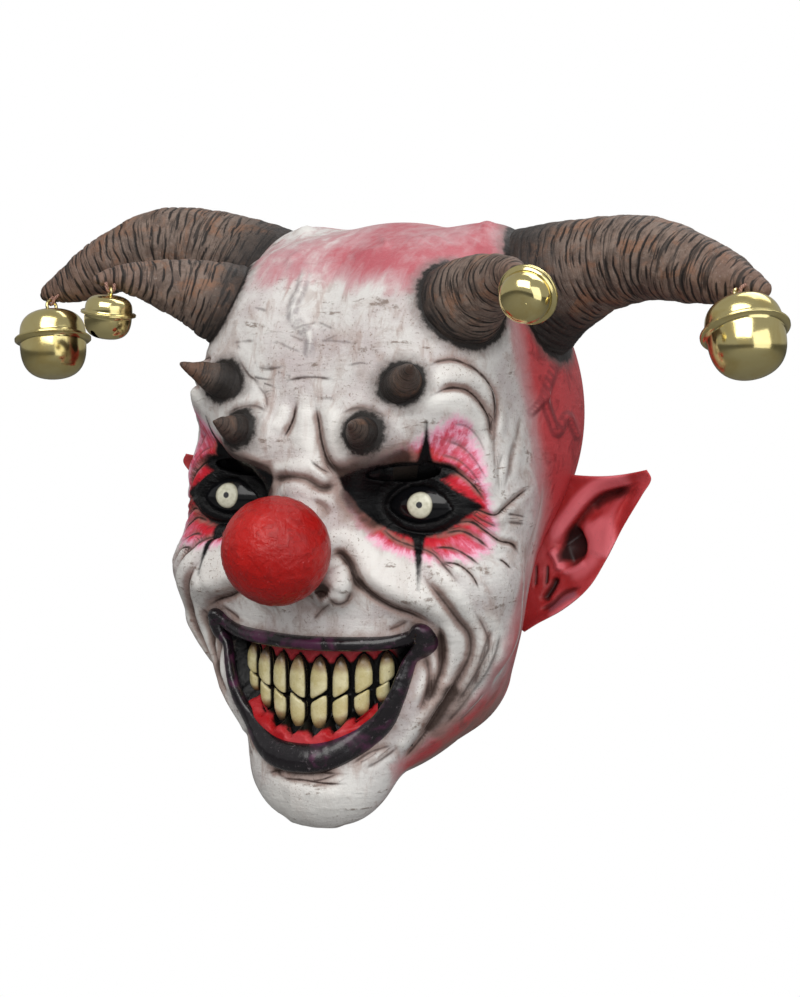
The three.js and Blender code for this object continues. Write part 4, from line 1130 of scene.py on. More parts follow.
def horn_paint(name, soot):
    """Ringed horn, with soot as the share of black rubbed over all of it."""
    m = Recipe(name, Specular_IOR_Level=0.35)
    blotch = m.noise(60.0, 6.0, 0.68, 0.6)
    grime = m.noise(170.0, 6.0, 0.7, 0.5)
    fine = m.noise(600.0, 5.0, 0.7)
    place = m.joined(m.attribute("ring_place"), m.attribute("ring_x"), m.attribute("ring_y"))
    ring = m.noise(0.62, 5.0, 0.62, 0.0, place)
    base = m.over((0.15, 0.105, 0.084), (0.28, 0.205, 0.165), m.span(grime, 0.38, 0.62))
    base = m.over(base, (0.30, 0.145, 0.080), m.span(blotch, 0.48, 0.64, 0.0, 0.75))
    base = m.over(base, (0.27, 0.145, 0.100), m.span(m.attribute("along"), 0.6, 1.0, 0.0, 0.5))
    base = m.over(base, (0.44, 0.37, 0.32), m.span(fine, 0.56, 0.70, 0.0, 0.45))
    base = m.over(base, (0.024, 0.018, 0.015), m.span(ring, 0.37, 0.50, 0.88, 0.0))
    groove = m.broken(m.attribute("groove"), fine, 0.6)
    groove = m.broken(groove, grime, 0.6)
    base = m.over(base, (0.012, 0.009, 0.008), m.span(groove, 0.12, 0.5, 0.0, 0.95))
    foot = m.broken(m.attribute("foot"), grime, 1.1)
    base = m.over(base, (0.020, 0.017, 0.016), m.span(foot, 0.35, 1.0, 0.0, 0.92))
    base = m.over(base, (0.012, 0.010, 0.009), m.span(blotch, 0.3, 0.7, soot, 0.7 * soot))
    m.colour(base)
    m.roughness(m.span(fine, 0.3, 0.7, 0.45, 0.68))
    m.bump(fine, 0.5, 0.5)
    m.bump(grime, 1.2, 0.5)
    m.bump(ring, 1.4, 0.6)
    return m.material


def horns():
    material = horn_paint("ringed_horn", HORN_SOOT)
    for place, rows, sides, steps, foot in HORNS:
        for word, side in SIDES:
            line, radii = horn_line(rows, side, steps + 1)
            horn = rolled_horn(f"ringed_horn_{place}_{word}", line, radii, sides, HORN_GROOVES, foot)
            finish_piece(horn, material, "horn", f"horn_{place}_{word}")


def spike_line(start, end, radius, side):
    """Centre line and radius of a spike from its foot to its tip."""
    share = np.linspace(0.0, 1.0, SPIKE_STEPS + 1)
    line = np.array(start) + share[:, None] * (np.array(end) - np.array(start))
    line = (line + SPIKE_BOW * (share ** 2 - share)[:, None]) * np.array((side, 1.0, 1.0))
    return line, radius * np.interp(share, SPIKE_ALONG, SPIKE_SCALE)


def spikes():
    material = horn_paint("ringed_spike", SPIKE_SOOT)
    for name, start, end, radius in SPIKES:
        for word, side in SIDES:
            line, radii = spike_line(start, end, radius, side)
            spike = rolled_horn(
                f"brow_spike_{name}_{word}", line, radii, SPIKE_SIDES, SPIKE_GROOVES, SPIKE_FOOT)
            finish_piece(spike, material, "horn", f"spike_{name}_{word}")


# Ears

EAR = (
    # z_in, z_out, x_in, x_out, y_in, y_out, hollow
    (-64, -65, 58, 62, 14, 12, 1),
    (-60, -60.5, 56, 69, 15, 11, 2),
    (-50, -52, 56, 83.7, 17, 10, 4),
    (-39, -40.6, 58, 97, 19, 9, 7),
    (-27, -26, 62, 106.6, 21, 8, 10),
    (-15, -10, 66, 115.4, 23, 6.5, 11),
    (-4, 6, 70, 125.8, 25, 4, 9),
    (6, 14, 73, 131, 27, 2, 6),
    (13, 18.5, 76, 129, 26, 1.5, 3),
)
EAR_DIP = 2.2                  # sag of the top edge below a straight line
EAR_DIP_POWER = 4              # how fast the sag fades below the top
EAR_THICK = (7.0, 3.5)         # at the head and at the outer edge
EAR_WALL = 1.5                 # least thickness behind a fold
EAR_ACROSS = 200
EAR_ALONG = 150
EAR_ROUND = 10.0               # power of the outer edge's rounding
EAR_ENDS = 44.0                # power of the rounding at the head, the foot and the top
EAR_STEP_START = -0.4
EAR_SHADE = 0.85               # reach of a step's painted dark shade, as a share of the step's
EAR_STEPS = (
    # name, depth, ramp, reach, roll, roll_width, shade, points in the photograph's frame
    ("rim", 4.6, 1.6, 8.0, 2.2, 3.5, 0.85, (
        (642, 480.5), (615.6, 487.7), (600, 492.6), (586.5, 503.5), (574.4, 519.2), (564.7, 532.6),
        (556.8, 553))),
    ("outer_fall", 2.2, 2.0, 5.0, 0.8, 2.5, 0.3, (
        (637, 484), (629.5, 491), (620.5, 506), (615, 523), (613, 542), (605, 560))),
    ("concha", 6.0, 3.0, 16.0, 1.2, 3.5, 0.9, (
        (562.3, 572), (575.6, 567.7), (585.3, 558), (587.7, 545), (583, 534), (574, 523))),
)
EAR_LINES = (
    # name, width, depth, shade, points in the photograph's frame
    ("plateau", 6.0, -1.8, 0.0, ((592, 518), (602, 530), (605, 545), (600, 560))),
    ("scapha", 3.0, 1.6, 0.45, ((632, 487), (612, 495), (598, 502), (590, 510))),
    ("tragus", 2.2, -3.0, 0.0, ((550.8, 548), (558, 560), (561, 571))),
    ("antitragus", 1.6, -1.6, 0.0, ((562, 573), (575, 568), (587, 561))),
    ("notch", 1.9, 4.0, 1.3, ((557, 576), (552, 587), (547, 595), (543, 602))),
    ("lobe_groove", 1.5, 2.4, 0.8, ((539, 612.6), (551.4, 604), (563.5, 593.2), (583, 588))),
    ("lobe_roll", 4.0, -1.4, 0.0, ((548, 622), (565, 609), (584, 597))),
    ("front_crease_a", 0.9, 1.4, 1.2, ((547, 564), (547, 575), (545.5, 586))),
    ("front_crease_b", 0.9, 1.2, 1.0, ((536, 563), (536, 575), (535, 588))),
)
EAR_HOLLOW = (                 # the dark hollow of the ear in the photograph's frame
    (572.7, 525), (581, 534), (587, 546), (583.5, 555), (571.6, 561), (559.7, 563), (556.8, 555),
    (562, 543), (567, 532.6),
)
EAR_HOLLOW_FADE = (-3.0, 6.0)
EAR_HOLLOW_SHADE = 1.25
EAR_LIT = 0.55                 # painted highlight for each millimetre of ridge
EAR_HAZE = {"width": 2.4, "points": ((545, 612), (557, 603.5), (566, 597.5), (580, 592))}


def ear_paint():
    m = Recipe("painted_latex_ear", Specular_IOR_Level=0.4)
    blotch = m.noise(45.0, 5.0, 0.6, 0.4)
    fine = m.noise(420.0, 5.0, 0.65)
    base = m.over((0.45, 0.034, 0.036), (0.58, 0.075, 0.085), m.span(blotch, 0.42, 0.66))
    # painted highlight on the ridges of the folds
    base = m.over(base, (0.90, 0.23, 0.27), m.span(m.attribute("ridge"), 0.12, 0.95, 0.0, 0.85))
    base = m.over(base, (0.34, 0.17, 0.22), m.span(m.attribute("haze"), 0.2, 1.0, 0.0, 0.7))
    base = m.over(base, (0.26, 0.11, 0.10), m.span(fine, 0.60, 0.74, 0.0, 0.4))
    # painted dark shade in the folds and the ear's hollow
    wash_and_shade = m.broken(m.attribute("wash_and_shade"), fine, 0.3)
    base = m.over(base, (0.10, 0.016, 0.014), m.span(wash_and_shade, 0.2, 0.85, 0.0, 0.8))
    base = m.over(base, (0.016, 0.007, 0.007), m.span(wash_and_shade, 0.75, 1.4, 0.0, 0.92))
    m.colour(base)
    m.roughness(m.span(blotch, 0.3, 0.7, 0.36, 0.48))
    m.bump(fine, 0.4, 0.3)
    m.bump(blotch, 1.2, 0.3)
    return m.material


def ear_relief(points):
    """Depth of the ear's folds behind its plain front, their painted dark shade and the painted highlight
    on their ridges.
    """
    forwards = np.tile(np.array((0.0, -1.0, 0.0)), (len(points), 1))
    sunk = np.zeros(len(points))
    wash_and_shade = np.zeros(len(points))
    ridge = np.zeros(len(points))
    for _, depth, ramp, reach, roll, roll_width, shade, drawn in EAR_STEPS:
        gap, ends, _ = drawn_line(points, forwards, True, drawn)
        ends = (ends - LINE_END) / (1.0 - LINE_END)
        inside = np.maximum(-gap, 0.0)
        drop = ease(-gap, EAR_STEP_START, ramp) * np.exp(-(inside / reach) ** 2) * ends
        lip = np.exp(-((gap - roll_width) / roll_width) ** 2) * (gap > EAR_STEP_START) * ends
        sunk += depth * drop - roll * lip
        wash_and_shade += shade * drop * np.exp(-(inside / (EAR_SHADE * reach)) ** 2)
        ridge += EAR_LIT * roll * lip
    for _, width, depth, shade, drawn in EAR_LINES:
        gap, ends, _ = drawn_line(points, forwards, True, drawn)
        shape = np.exp(-(gap / width) ** 2) * ends
        sunk += depth * shape
        wash_and_shade += shade * shape
        ridge += EAR_LIT * max(-depth, 0.0) * shape
    hollow = ease(outline_depth(seen_at(points)[0], EAR_HOLLOW), *EAR_HOLLOW_FADE)
    wash_and_shade += EAR_HOLLOW_SHADE * hollow
    gap, ends, _ = drawn_line(points, forwards, True, EAR_HAZE["points"])
    haze = np.exp(-(gap / EAR_HAZE["width"]) ** 2) * ends
    return sunk, wash_and_shade, ridge, haze


def ears():
    material = ear_paint()
    rows = spline(EAR, EAR_ALONG + 1)
    for word, side in SIDES:
        ear, u, v = grid_sheet(f"pointed_ear_{word}", EAR_ACROSS, EAR_ALONG)
        z_in, z_out, x_in, x_out, y_in, y_out, hollow = rows[np.rint(v * EAR_ALONG).astype(int)].T
        front = u < 0.5
        out = np.where(front, 2.0 * u, 2.0 - 2.0 * u)
        x = x_in + (x_out - x_in) * out
        z = z_in + (z_out - z_in) * out - EAR_DIP * v ** EAR_DIP_POWER * np.sin(np.pi * out)
        base = y_in + (y_out - y_in) * out + hollow * np.sin(np.pi * out)
        thick = EAR_THICK[0] + (EAR_THICK[1] - EAR_THICK[0]) * out
        closed = np.maximum(1.0 - out ** EAR_ROUND, 0.0)
        closed *= np.maximum(1.0 - (1.0 - out) ** EAR_ENDS, 0.0)
        closed *= np.maximum(1.0 - np.abs(2.0 * v - 1.0) ** EAR_ENDS, 0.0)
        sunk, wash_and_shade, ridge, haze = ear_relief(np.column_stack((x, base, z)))
        middle = base + thick / 2
        face = np.where(front, base + sunk, base + np.maximum(thick, sunk + EAR_WALL))
        y = middle + (face - middle) * np.sqrt(closed)
        put_vertices(ear, np.column_stack((side * x, y, z)))
        paint(ear, "wash_and_shade", np.where(front, wash_and_shade, 0.0))
        paint(ear, "ridge", np.where(front, ridge, 0.0))
        paint(ear, "haze", np.where(front, haze, 0.0))
        weld(ear)
        finish_piece(ear, material, "ear_skin", f"ear_{word}")


# Nose and eyes

NOSE_RADIUS = 24.6
NOSE_CENTRE = (0.0, -122.0, -14.0)
NOSE_DIMPLE = 0.28
NOSE_ROUGH = {"scale": 7.0, "falloff": 0.9, "step": 2.1, "layers": 4}
NOSE_NET = {"segments": 112, "ring_count": 72}
EYE_NET = {"segments": 120, "ring_count": 80}
IRIS_SEEN = {"left": (419, 505), "right": (226, 495)}
EYE_PAINT = {"pupil": 1.55, "pupil_edge": 0.25, "iris": 6.2, "iris_edge": 0.35, "shade": 1.4}


def nose_paint():
    m = Recipe("red_nose", Specular_IOR_Level=0.4)
    blotch = m.noise(30.0, 4.0)
    dimple = m.noise(210.0, 5.0, 0.55, 0.8)
    fine = m.noise(620.0, 4.0, 0.6)
    base = m.over((0.37, 0.004, 0.003), (0.46, 0.008, 0.006), m.span(blotch, 0.4, 0.65))
    base = m.over(base, (0.24, 0.004, 0.004), m.span(dimple, 0.52, 0.68, 0.0, 0.5))
    base = m.over(base, (0.62, 0.14, 0.15), m.span(fine, 0.64, 0.72, 0.0, 0.5))
    m.colour(base)
    m.roughness(m.span(dimple, 0.35, 0.7, 0.3, 0.42))
    m.bump(fine, 0.35, 0.5)
    m.bump(dimple, 1.3, 0.8)
    return m.material


def nose():
    deselect()
    bpy.ops.mesh.primitive_uv_sphere_add(radius=NOSE_RADIUS * MM, **NOSE_NET)
    ball = bpy.context.active_object
    ball.name = "ball_nose"
    outwards = vertices_of(ball) / (NOSE_RADIUS * MM)
    falloff = NOSE_ROUGH["falloff"]
    step = NOSE_ROUGH["step"]
    layers = NOSE_ROUGH["layers"]
    rough = np.array([
        noise.fractal(Vector(d * NOSE_ROUGH["scale"]), falloff, step, layers) for d in outwards
    ])
    reach = NOSE_RADIUS + NOSE_DIMPLE * rough
    put_vertices(ball, np.array(NOSE_CENTRE) + outwards * reach[:, None])
    finish_piece(ball, nose_paint(), "nose", "nose_ball")


def eye_paint():
    m = Recipe("glossy_eye", Specular_IOR_Level=0.3, Coat_Weight=0.2, Coat_Roughness=0.04)
    from_iris = m.attribute("from_iris")
    grain = m.noise(500.0, 4.0)
    white = m.over((0.70, 0.69, 0.56), (0.56, 0.55, 0.42), m.span(grain, 0.4, 0.7))
    iris = EYE_PAINT["iris"]
    iris_edge = EYE_PAINT["iris_edge"]
    pupil = EYE_PAINT["pupil"]
    pupil_edge = EYE_PAINT["pupil_edge"]
    base = m.over(white, (0.30, 0.28, 0.20), m.span(from_iris, iris - EYE_PAINT["shade"], iris, 0.0, 0.8))
    out_of_pupil = m.span(from_iris, pupil - pupil_edge, pupil + pupil_edge)
    base = m.over((0.045, 0.045, 0.05), base, out_of_pupil)
    out_of_iris = m.span(from_iris, iris - iris_edge, iris + iris_edge)
    base = m.over(base, (0.004, 0.004, 0.005), out_of_iris)
    m.colour(base)
    m.roughness(m.span(grain, 0.3, 0.7, 0.12, 0.2))
    return m.material


def look_point(pixel, centre, radii):
    """Where the sight line through a pixel meets an ellipsoid."""
    eye = BACK * DISTANCE
    ray = RIGHT * (pixel[0] - PHOTO_WIDTH / 2) + UP * (PHOTO_HEIGHT / 2 - pixel[1]) - BACK * FOCAL
    o = (eye - centre) / radii
    d = ray / radii
    half = (o @ d) / (d @ d)
    reach = -half - math.sqrt(max(half * half - (o @ o - 1.0) / (d @ d), 0.0))
    return eye + ray * reach


def eyes():
    material = eye_paint()
    radii = np.array(EYE_RADII, float)
    for word, side in SIDES:
        deselect()
        bpy.ops.mesh.primitive_uv_sphere_add(radius=MM, **EYE_NET)
        ball = bpy.context.active_object
        ball.name = f"glossy_eye_{word}"
        centre = np.array(EYE_CENTRE, float) * np.array((side, 1.0, 1.0))
        points = centre + vertices_of(ball) / MM * radii
        put_vertices(ball, points)
        iris = look_point(IRIS_SEEN[word], centre, radii)
        paint(ball, "from_iris", np.linalg.norm(points - iris, axis=1))
        finish_piece(ball, material, "eyes", f"eye_{word}")


# Mouth

LIPS = (
    # x, z, half, proud
    (0, -58.6, 3.3, 3.8),
    (20, -58.2, 3.3, 3.8),
    (40, -57.2, 3.2, 3.6),
    (50, -54.6, 3.6, 4.6),
    (54.5, -52.4, 4.8, 6.8),
    (55, -57.6, 4.8, 6.8),
    (48.8, -65, 2.7, 3.8),
    (46.4, -73, 3.0, 3.8),
    (43.4, -82, 3.5, 4),
    (36.6, -94, 4.6, 4.2),
    (25, -104, 6, 4.8),
    (13, -110, 6.8, 5.2),
    (0, -111.5, 7, 5.4),
)
LIP_STEPS = 300
LIP_SIDES = 36
LIP_CREASE = 0.35
LIP_WRINKLE = {"along": 2.2, "across": 9.0, "falloff": 0.9, "step": 2.0, "layers": 3}
LIP_OUTLINE_STEP = 3           # every third point of the lips is enough for an outline
ARCH = {
    "front": -91.0, "turn": 0.0085, "half_width": 45.0, "top": -56.0, "bottom": -107.0, "depth": 9.0,
}
GUM_SHELF = {                  # the low gum comes forward to the lip
    "out": 10.0, "from": (91.5, 101.5), "drop": -0.006, "inside": (-2.0, 1.0),
}
GUM_ACROSS = 220
GUM_ALONG = 130
GUM_SWELL = {"out": 1.6, "from": (0.4, 3.0)}   # between the teeth, away from them
GUM_CLEAR = (-0.8, 2.0)        # from a tooth, where the shelf comes fully forward
GUM_BAND = (3.0, 1.5)          # below the upper roots and above the lower, where the gums turn black as painted shade
GUM_BAND_EDGE = 0.8
GUM_SIDE = (35.0, 40.0)        # from the middle, where the gums end in black painted shade
UPPER_TEETH = (
    # x, width, root, bite
    (5.4, 9, -65.6, -84),
    (15.4, 8, -65.2, -83),
    (25.2, 8.6, -63.6, -80.5),
    (34.4, 7.4, -62.4, -76.5),
)
LOWER_TEETH = (
    (5.4, 8.6, -101, -84.6),
    (15.2, 7.8, -98.5, -83.6),
    (24.4, 7.6, -93.5, -81.1),
    (32.8, 6.6, -87, -77.1),
)
TOOTH_DEPTH = 5.0
TOOTH_SLANT = 0.62             # rise of the bite outwards along the arch
TOOTH_SIDES = 40
TOOTH_STEPS = 36
CROWN_ROOT = {"share": 0.62, "power": 2.0, "curve": 0.62}      # rounding of a crown to its root
CROWN_BITE = {"share": 0.45, "power": 10.0, "curve": 0.3}      # and to its bite
CROWN_SQUARE = 0.8             # below 1, a squarer crown than a round one
CROWN_MIDDLE = 0.35            # its middle in front of the arch, as a share of its depth
CROWN_THIN = 0.25              # share of its depth left where it is narrowest
ROOT_STAIN = {"power": 1.3, "fade": 0.5}
# darker at each tooth's sides and bite: painted shade
EDGE_SHADE = {"power": 5, "behind": 0.6, "bite": 1.2, "bite_from": 0.94}


def lip_paint():
    m = Recipe("glossy_lips", Specular_IOR_Level=0.4, Coat_Weight=0.45, Coat_Roughness=0.17)
    blotch = m.noise(70.0, 5.0, 0.6, 0.6)
    fine = m.noise(420.0, 6.0, 0.65)
    base = m.over((0.008, 0.006, 0.008), (0.075, 0.014, 0.050), m.span(blotch, 0.48, 0.66))
    base = m.over(base, (0.24, 0.20, 0.22), m.span(fine, 0.60, 0.74, 0.0, 0.55))
    m.colour(base)
    m.roughness(m.span(blotch, 0.35, 0.65, 0.2, 0.38))
    m.bump(fine, 0.5, 0.4)
    m.bump(blotch, 1.0, 0.5)
    return m.material


def lip_line():
    """Centre of the lips all round, and their half width and height."""
    mirrored = tuple((-x, z, half, proud) for x, z, half, proud in LIPS[-2:0:-1])
    rows = LIPS + mirrored
    line = spline([(x, 0, z) for x, z, _, _ in rows], LIP_STEPS, closed=True)
    size = spline([(half, proud, 0) for _, _, half, proud in rows], LIP_STEPS, closed=True)
    return line, size


def lip_outline():
    """Corners of the mouth at the middle of the lips, in the front view."""
    return lip_line()[0][::LIP_OUTLINE_STEP, [0, 2]]


def lip_wrinkle(x, out, z):
    along = LIP_WRINKLE["along"]
    at = Vector((x / along, out / LIP_WRINKLE["across"], z / along))
    return noise.fractal(at, LIP_WRINKLE["falloff"], LIP_WRINKLE["step"], LIP_WRINKLE["layers"])


def lips():
    line, size = lip_line()
    along = np.roll(line, -1, axis=0) - np.roll(line, 1, axis=0)
    along /= np.linalg.norm(along, axis=1, keepdims=True)
    lip, u, v = grid_sheet("lip_roll", LIP_SIDES, LIP_STEPS)
    station = np.rint(v * LIP_STEPS).astype(int) % LIP_STEPS
    turn = 2.0 * np.pi * u
    out = size[station, 0] * np.cos(turn)
    x = line[station, 0] + along[station, 2] * out
    z = line[station, 2] - along[station, 0] * out
    crease = np.array([
        lip_wrinkle(a, b, c) for a, b, c in zip(line[station, 0], out, line[station, 2])
    ])
    y = face_front(x, z) - (size[station, 1] + LIP_CREASE * crease) * np.sin(turn)
    put_vertices(lip, np.column_stack((x, y, z)))
    weld(lip)
    finish_piece(lip, lip_paint(), "lips", "lips")


def arch_depth(x):
    return ARCH["front"] + ARCH["turn"] * x * x


def tooth_shadow(x, z):
    """Millimetres outside the nearest tooth, in the front view."""
    nearest = np.full(len(x), np.inf)
    for centre, width, root, bite in UPPER_TEETH + LOWER_TEETH:
        share = np.clip((z - root) / (bite - root), 0.0, 1.0)
        beyond = np.abs(z - root - share * (bite - root))
        beside = np.maximum(np.abs(np.abs(x) - centre) - width / 2 * tooth_fullness(share), 0.0)
        nearest = np.minimum(nearest, np.hypot(beside, beyond))
    return nearest


def tooth_fullness(share):
    """Width of a crown from its root to its bite, as a share of the widest."""
    to_root = np.maximum(1.0 - share / CROWN_ROOT["share"], 0.0)
    to_bite = np.maximum(1.0 - (1.0 - share) / CROWN_BITE["share"], 0.0)
    rooted = np.maximum(1.0 - to_root ** CROWN_ROOT["power"], 0.0) ** CROWN_ROOT["curve"]
    bitten = np.maximum(1.0 - to_bite ** CROWN_BITE["power"], 0.0) ** CROWN_BITE["curve"]
    return rooted * bitten


def gum_paint():
    m = Recipe("wet_gums", Specular_IOR_Level=0.2)
    fine = m.noise(380.0, 5.0)
    blotch = m.noise(90.0, 4.0)
    base = m.over((0.40, 0.010, 0.014), (0.52, 0.050, 0.058), m.span(blotch, 0.4, 0.65))
    base = m.over(base, (0.36, 0.045, 0.055), m.span(m.attribute("height"), 0.3, 1.0, 0.0, 0.7))
    # black near each tooth, behind the crowns and at the sides: painted shade in the mouth
    shadow = m.broken(m.attribute("shadow"), fine, 1.2)
    base = m.over((0.003, 0.003, 0.003), base, m.span(shadow, 0.8, 1.5))
    base = m.over(base, (0.003, 0.003, 0.003), m.span(m.attribute("side"), *GUM_SIDE))
    base = m.over(base, (0.003, 0.003, 0.003), m.attribute("between"))
    m.colour(base)
    m.roughness(m.span(fine, 0.3, 0.7, 0.22, 0.4))
    m.bump(blotch, 1.2, 0.4)
    return m.material


def root_height(x, rows):
    """Height of a row's roots at each place across the mouth."""
    centres = [centre for centre, _, _, _ in rows]
    roots = [root for _, _, root, _ in rows]
    return np.interp(np.abs(x), centres, roots)


def between_roots(x, z):
    """1 in the band of black painted shade behind the crowns, between the two rows of roots."""
    high = root_height(x, UPPER_TEETH) - GUM_BAND[0]
    low = root_height(x, LOWER_TEETH) + GUM_BAND[1]
    under = ease(high - z, -GUM_BAND_EDGE, GUM_BAND_EDGE)
    return under * ease(z - low, -GUM_BAND_EDGE, GUM_BAND_EDGE)


def gums():
    gum, u, v = grid_sheet("gum_arch", GUM_ACROSS, GUM_ALONG)
    x = ARCH["half_width"] * (2.0 * u - 1.0)
    z = ARCH["bottom"] + (ARCH["top"] - ARCH["bottom"]) * v
    shadow = tooth_shadow(x, z)
    room = outline_depth(np.column_stack((x, z)), lip_outline())
    shelf = ease(-z - GUM_SHELF["drop"] * x * x, *GUM_SHELF["from"]) * ease(room, *GUM_SHELF["inside"])
    swell = GUM_SWELL["out"] * ease(shadow, *GUM_SWELL["from"])
    swell += GUM_SHELF["out"] * shelf * ease(shadow, *GUM_CLEAR)
    put_vertices(gum, np.column_stack((x, arch_depth(x) - swell, z)))
    paint(gum, "shadow", shadow)
    paint(gum, "height", v)
    paint(gum, "side", np.abs(x))
    paint(gum, "between", between_roots(x, z))
    use_only(gum)
    solid = gum.modifiers.new("depth", "SOLIDIFY")
    solid.thickness = ARCH["depth"] * MM
    solid.offset = 1.0 if gum.data.polygons[0].normal.y > 0 else -1.0
    bpy.ops.object.modifier_apply(modifier=solid.name)
    weld(gum)
    finish_piece(gum, gum_paint(), "gums", "gums")


def tooth_paint():
    m = Recipe("stained_teeth", Specular_IOR_Level=0.55, Coat_Weight=0.35, Coat_Roughness=0.12)
    fine = m.noise(420.0, 5.0, 0.65)
    blotch = m.noise(120.0, 5.0, 0.6, 0.4)
    base = m.over((0.58, 0.50, 0.24), (0.72, 0.66, 0.40), m.span(blotch, 0.4, 0.66))
    root = m.broken(m.attribute("root"), blotch, 0.9)
    base = m.over(base, (0.25, 0.14, 0.055), m.span(root, 0.35, 0.8, 0.0, 0.85))
    base = m.over(base, (0.05, 0.025, 0.015), m.span(root, 0.75, 1.1, 0.0, 0.9))
    # painted shade on the sides and the bite of each tooth
    edge = m.broken(m.attribute("edge"), fine, 0.35)
    base = m.over(base, (0.012, 0.009, 0.007), m.span(edge, 0.5, 0.9))
    base = m.over(base, (0.10, 0.06, 0.03), m.product(m.span(fine, 0.64, 0.74), 0.6))
    m.colour(base)
    m.roughness(m.span(fine, 0.3, 0.7, 0.2, 0.36))
    m.bump(fine, 0.4, 0.35)
    m.bump(blotch, 0.8, 0.3)
    return m.material


def tooth(name, row, side):
    """A round-rooted crown on the arch, with its bite slanting up outwards."""
    centre, width, root, bite = row
    crown, u, v = grid_sheet(name, TOOTH_SIDES, TOOTH_STEPS)
    turn = 2.0 * np.pi * u
    full = tooth_fullness(v)
    across = np.sign(np.cos(turn)) * np.abs(np.cos(turn)) ** CROWN_SQUARE * width / 2 * full
    out = TOOTH_DEPTH * (CROWN_MIDDLE + (1.0 - CROWN_MIDDLE) * np.sin(turn))
    out *= CROWN_THIN + (1.0 - CROWN_THIN) * full
    bend = 2.0 * ARCH["turn"] * centre
    along = np.array((1.0, bend)) / math.hypot(1.0, bend)
    outwards = np.array((bend, -1.0)) / math.hypot(1.0, bend)
    x = centre + along[0] * across + outwards[0] * out
    y = arch_depth(centre) + along[1] * across + outwards[1] * out
    z = root + (bite - root) * v + TOOTH_SLANT * across * v ** 2
    put_vertices(crown, np.column_stack((side * x, y, z)))
    paint(crown, "root", ROOT_STAIN["power"] - v / ROOT_STAIN["fade"])
    edge = np.abs(np.cos(turn)) ** EDGE_SHADE["power"] * (np.sin(turn) < EDGE_SHADE["behind"])
    paint(crown, "edge", edge + EDGE_SHADE["bite"] * ease(v, EDGE_SHADE["bite_from"], 1.0))
    weld(crown)
    return crown


def teeth():
    material = tooth_paint()
    for jaw, rows in (("upper", UPPER_TEETH), ("lower", LOWER_TEETH)):
        for word, side in SIDES:
            for i, row in enumerate(rows, 1):
                crown = tooth(f"crown_{jaw}_{word}_{i}", row, side)
                finish_piece(crown, material, "teeth", f"tooth_{jaw}_{word}_{i}")


# Bells

BELLS = (
    # name, size, at, axis, slot turn, tied to
    ("rear_left", "big", (192.1, -48.2, 82), (-0.31, 0.385, 0.87), 31, (185.5, -26.7, 104.4)),
    ("rear_right", "big", (-181.2, -41.2, 77.1), (-0.183, 0.204, 0.961), 31, (-184.5, -26.5, 105)),
    ("front_left", "small", (117.1, -113.8, 98.4), (-0.03, 0.941, 0.327), 51, (108, -99.5, 108.4)),
    ("front_right", "small", (-104.9, -100, 89.5), (0.15, -0.041, 0.988), 31, (-106, -97.5, 108.7)),
)
BELL_SIZES = {
    # waist and foot are the heights of the flange and the lowest point, in radii
    "big": {
        "radius": 19.0, "wall": 0.9, "loop": 3.0, "wire": 0.9, "slot": 2.3, "waist": 0.1, "foot": -0.97,
    },
    "small": {
        "radius": 12.5, "wall": 0.8, "loop": 1.9, "wire": 0.7, "slot": 1.6, "waist": 0.2, "foot": -0.78,
    },
}
BELL_SQUASH = 0.9              # height of the top in radii
BELL_SIDES = 112
BELL_ARC = 34                  # steps from the flange to the top or the foot
FLANGE = {"proud": 0.7, "half_height": 0.8}
FLANGE_EDGE = (
    # in from the edge, height in half heights
    (0.4, 0.9), (0.0, 0.5), (0.2, 0.1), (0.2, -0.1), (0.0, -0.5), (0.4, -0.9),
)
BELL_BODY = 0.9                # of the radius at the flange
BELL_FULL = 0.7                # below 1, a fuller and squarer wall than a ball's
SLOT_HALF = 6.3                # half length of the slot, in slot widths
SLOT_END = 1.15                # half width near its ends, in slot widths
SLOT_MIDDLE = 0.36             # half width at its middle
SLOT_FLARE = (0.3, 0.8)        # shares of the half length over which it widens
SLOT_SQUARE = 14               # power of the rounding at its ends
SLOT_CORNERS = 96
SLOT_WELD = 0.0001
SLOT_CUTTER = {"low": -2.0, "rise": 1.6}       # foot and height of the cutter, in radii
LOOP_NET = {"major_segments": 40, "minor_segments": 14}
PELLET_SIZE = 0.8              # of the plain pellet
PELLET_NET = {"segments": 28, "ring_count": 18}
TIE_RADIUS = 0.75
TIE_PLIES = 3
TIE_RISE = 22 / 9              # millimetres along the tie from one ply to the next
TIE_PLY = {"high": 1.12, "sunk": 0.34}         # radius over a ply, and lost between two
TIE_GAP = 0.35
TIE_BEND = 0.7                 # share of the way round the loop's wire at half the bend
TIE_STEPS = 160
TIE_SIDES = 20


def bell_frame(at, axis, tied_to):
    z = Vector(axis).normalized()
    x = z.cross(Vector(tied_to) - Vector(at)).normalized()
    y = z.cross(x)
    turn = Matrix((x, y, z)).transposed().to_4x4()
    return Matrix.Translation(row_point(at)) @ turn


def brass_finish():
    m = Recipe("polished_brass", Metallic=1.0)
    smudge = m.noise(60.0, 5.0, 0.6, 0.8)
    fine = m.noise(900.0, 3.0)
    base = m.over((0.88, 0.76, 0.36), (0.78, 0.62, 0.24), m.span(smudge, 0.4, 0.7))
    base = m.over(base, (0.06, 0.042, 0.020), m.attribute("inner"))
    m.colour(base)
    m.roughness(m.span(smudge, 0.35, 0.75, 0.12, 0.24))
    m.bump(smudge, 0.4, 0.1)
    m.bump(fine, 0.1, 0.1)
    return m.material


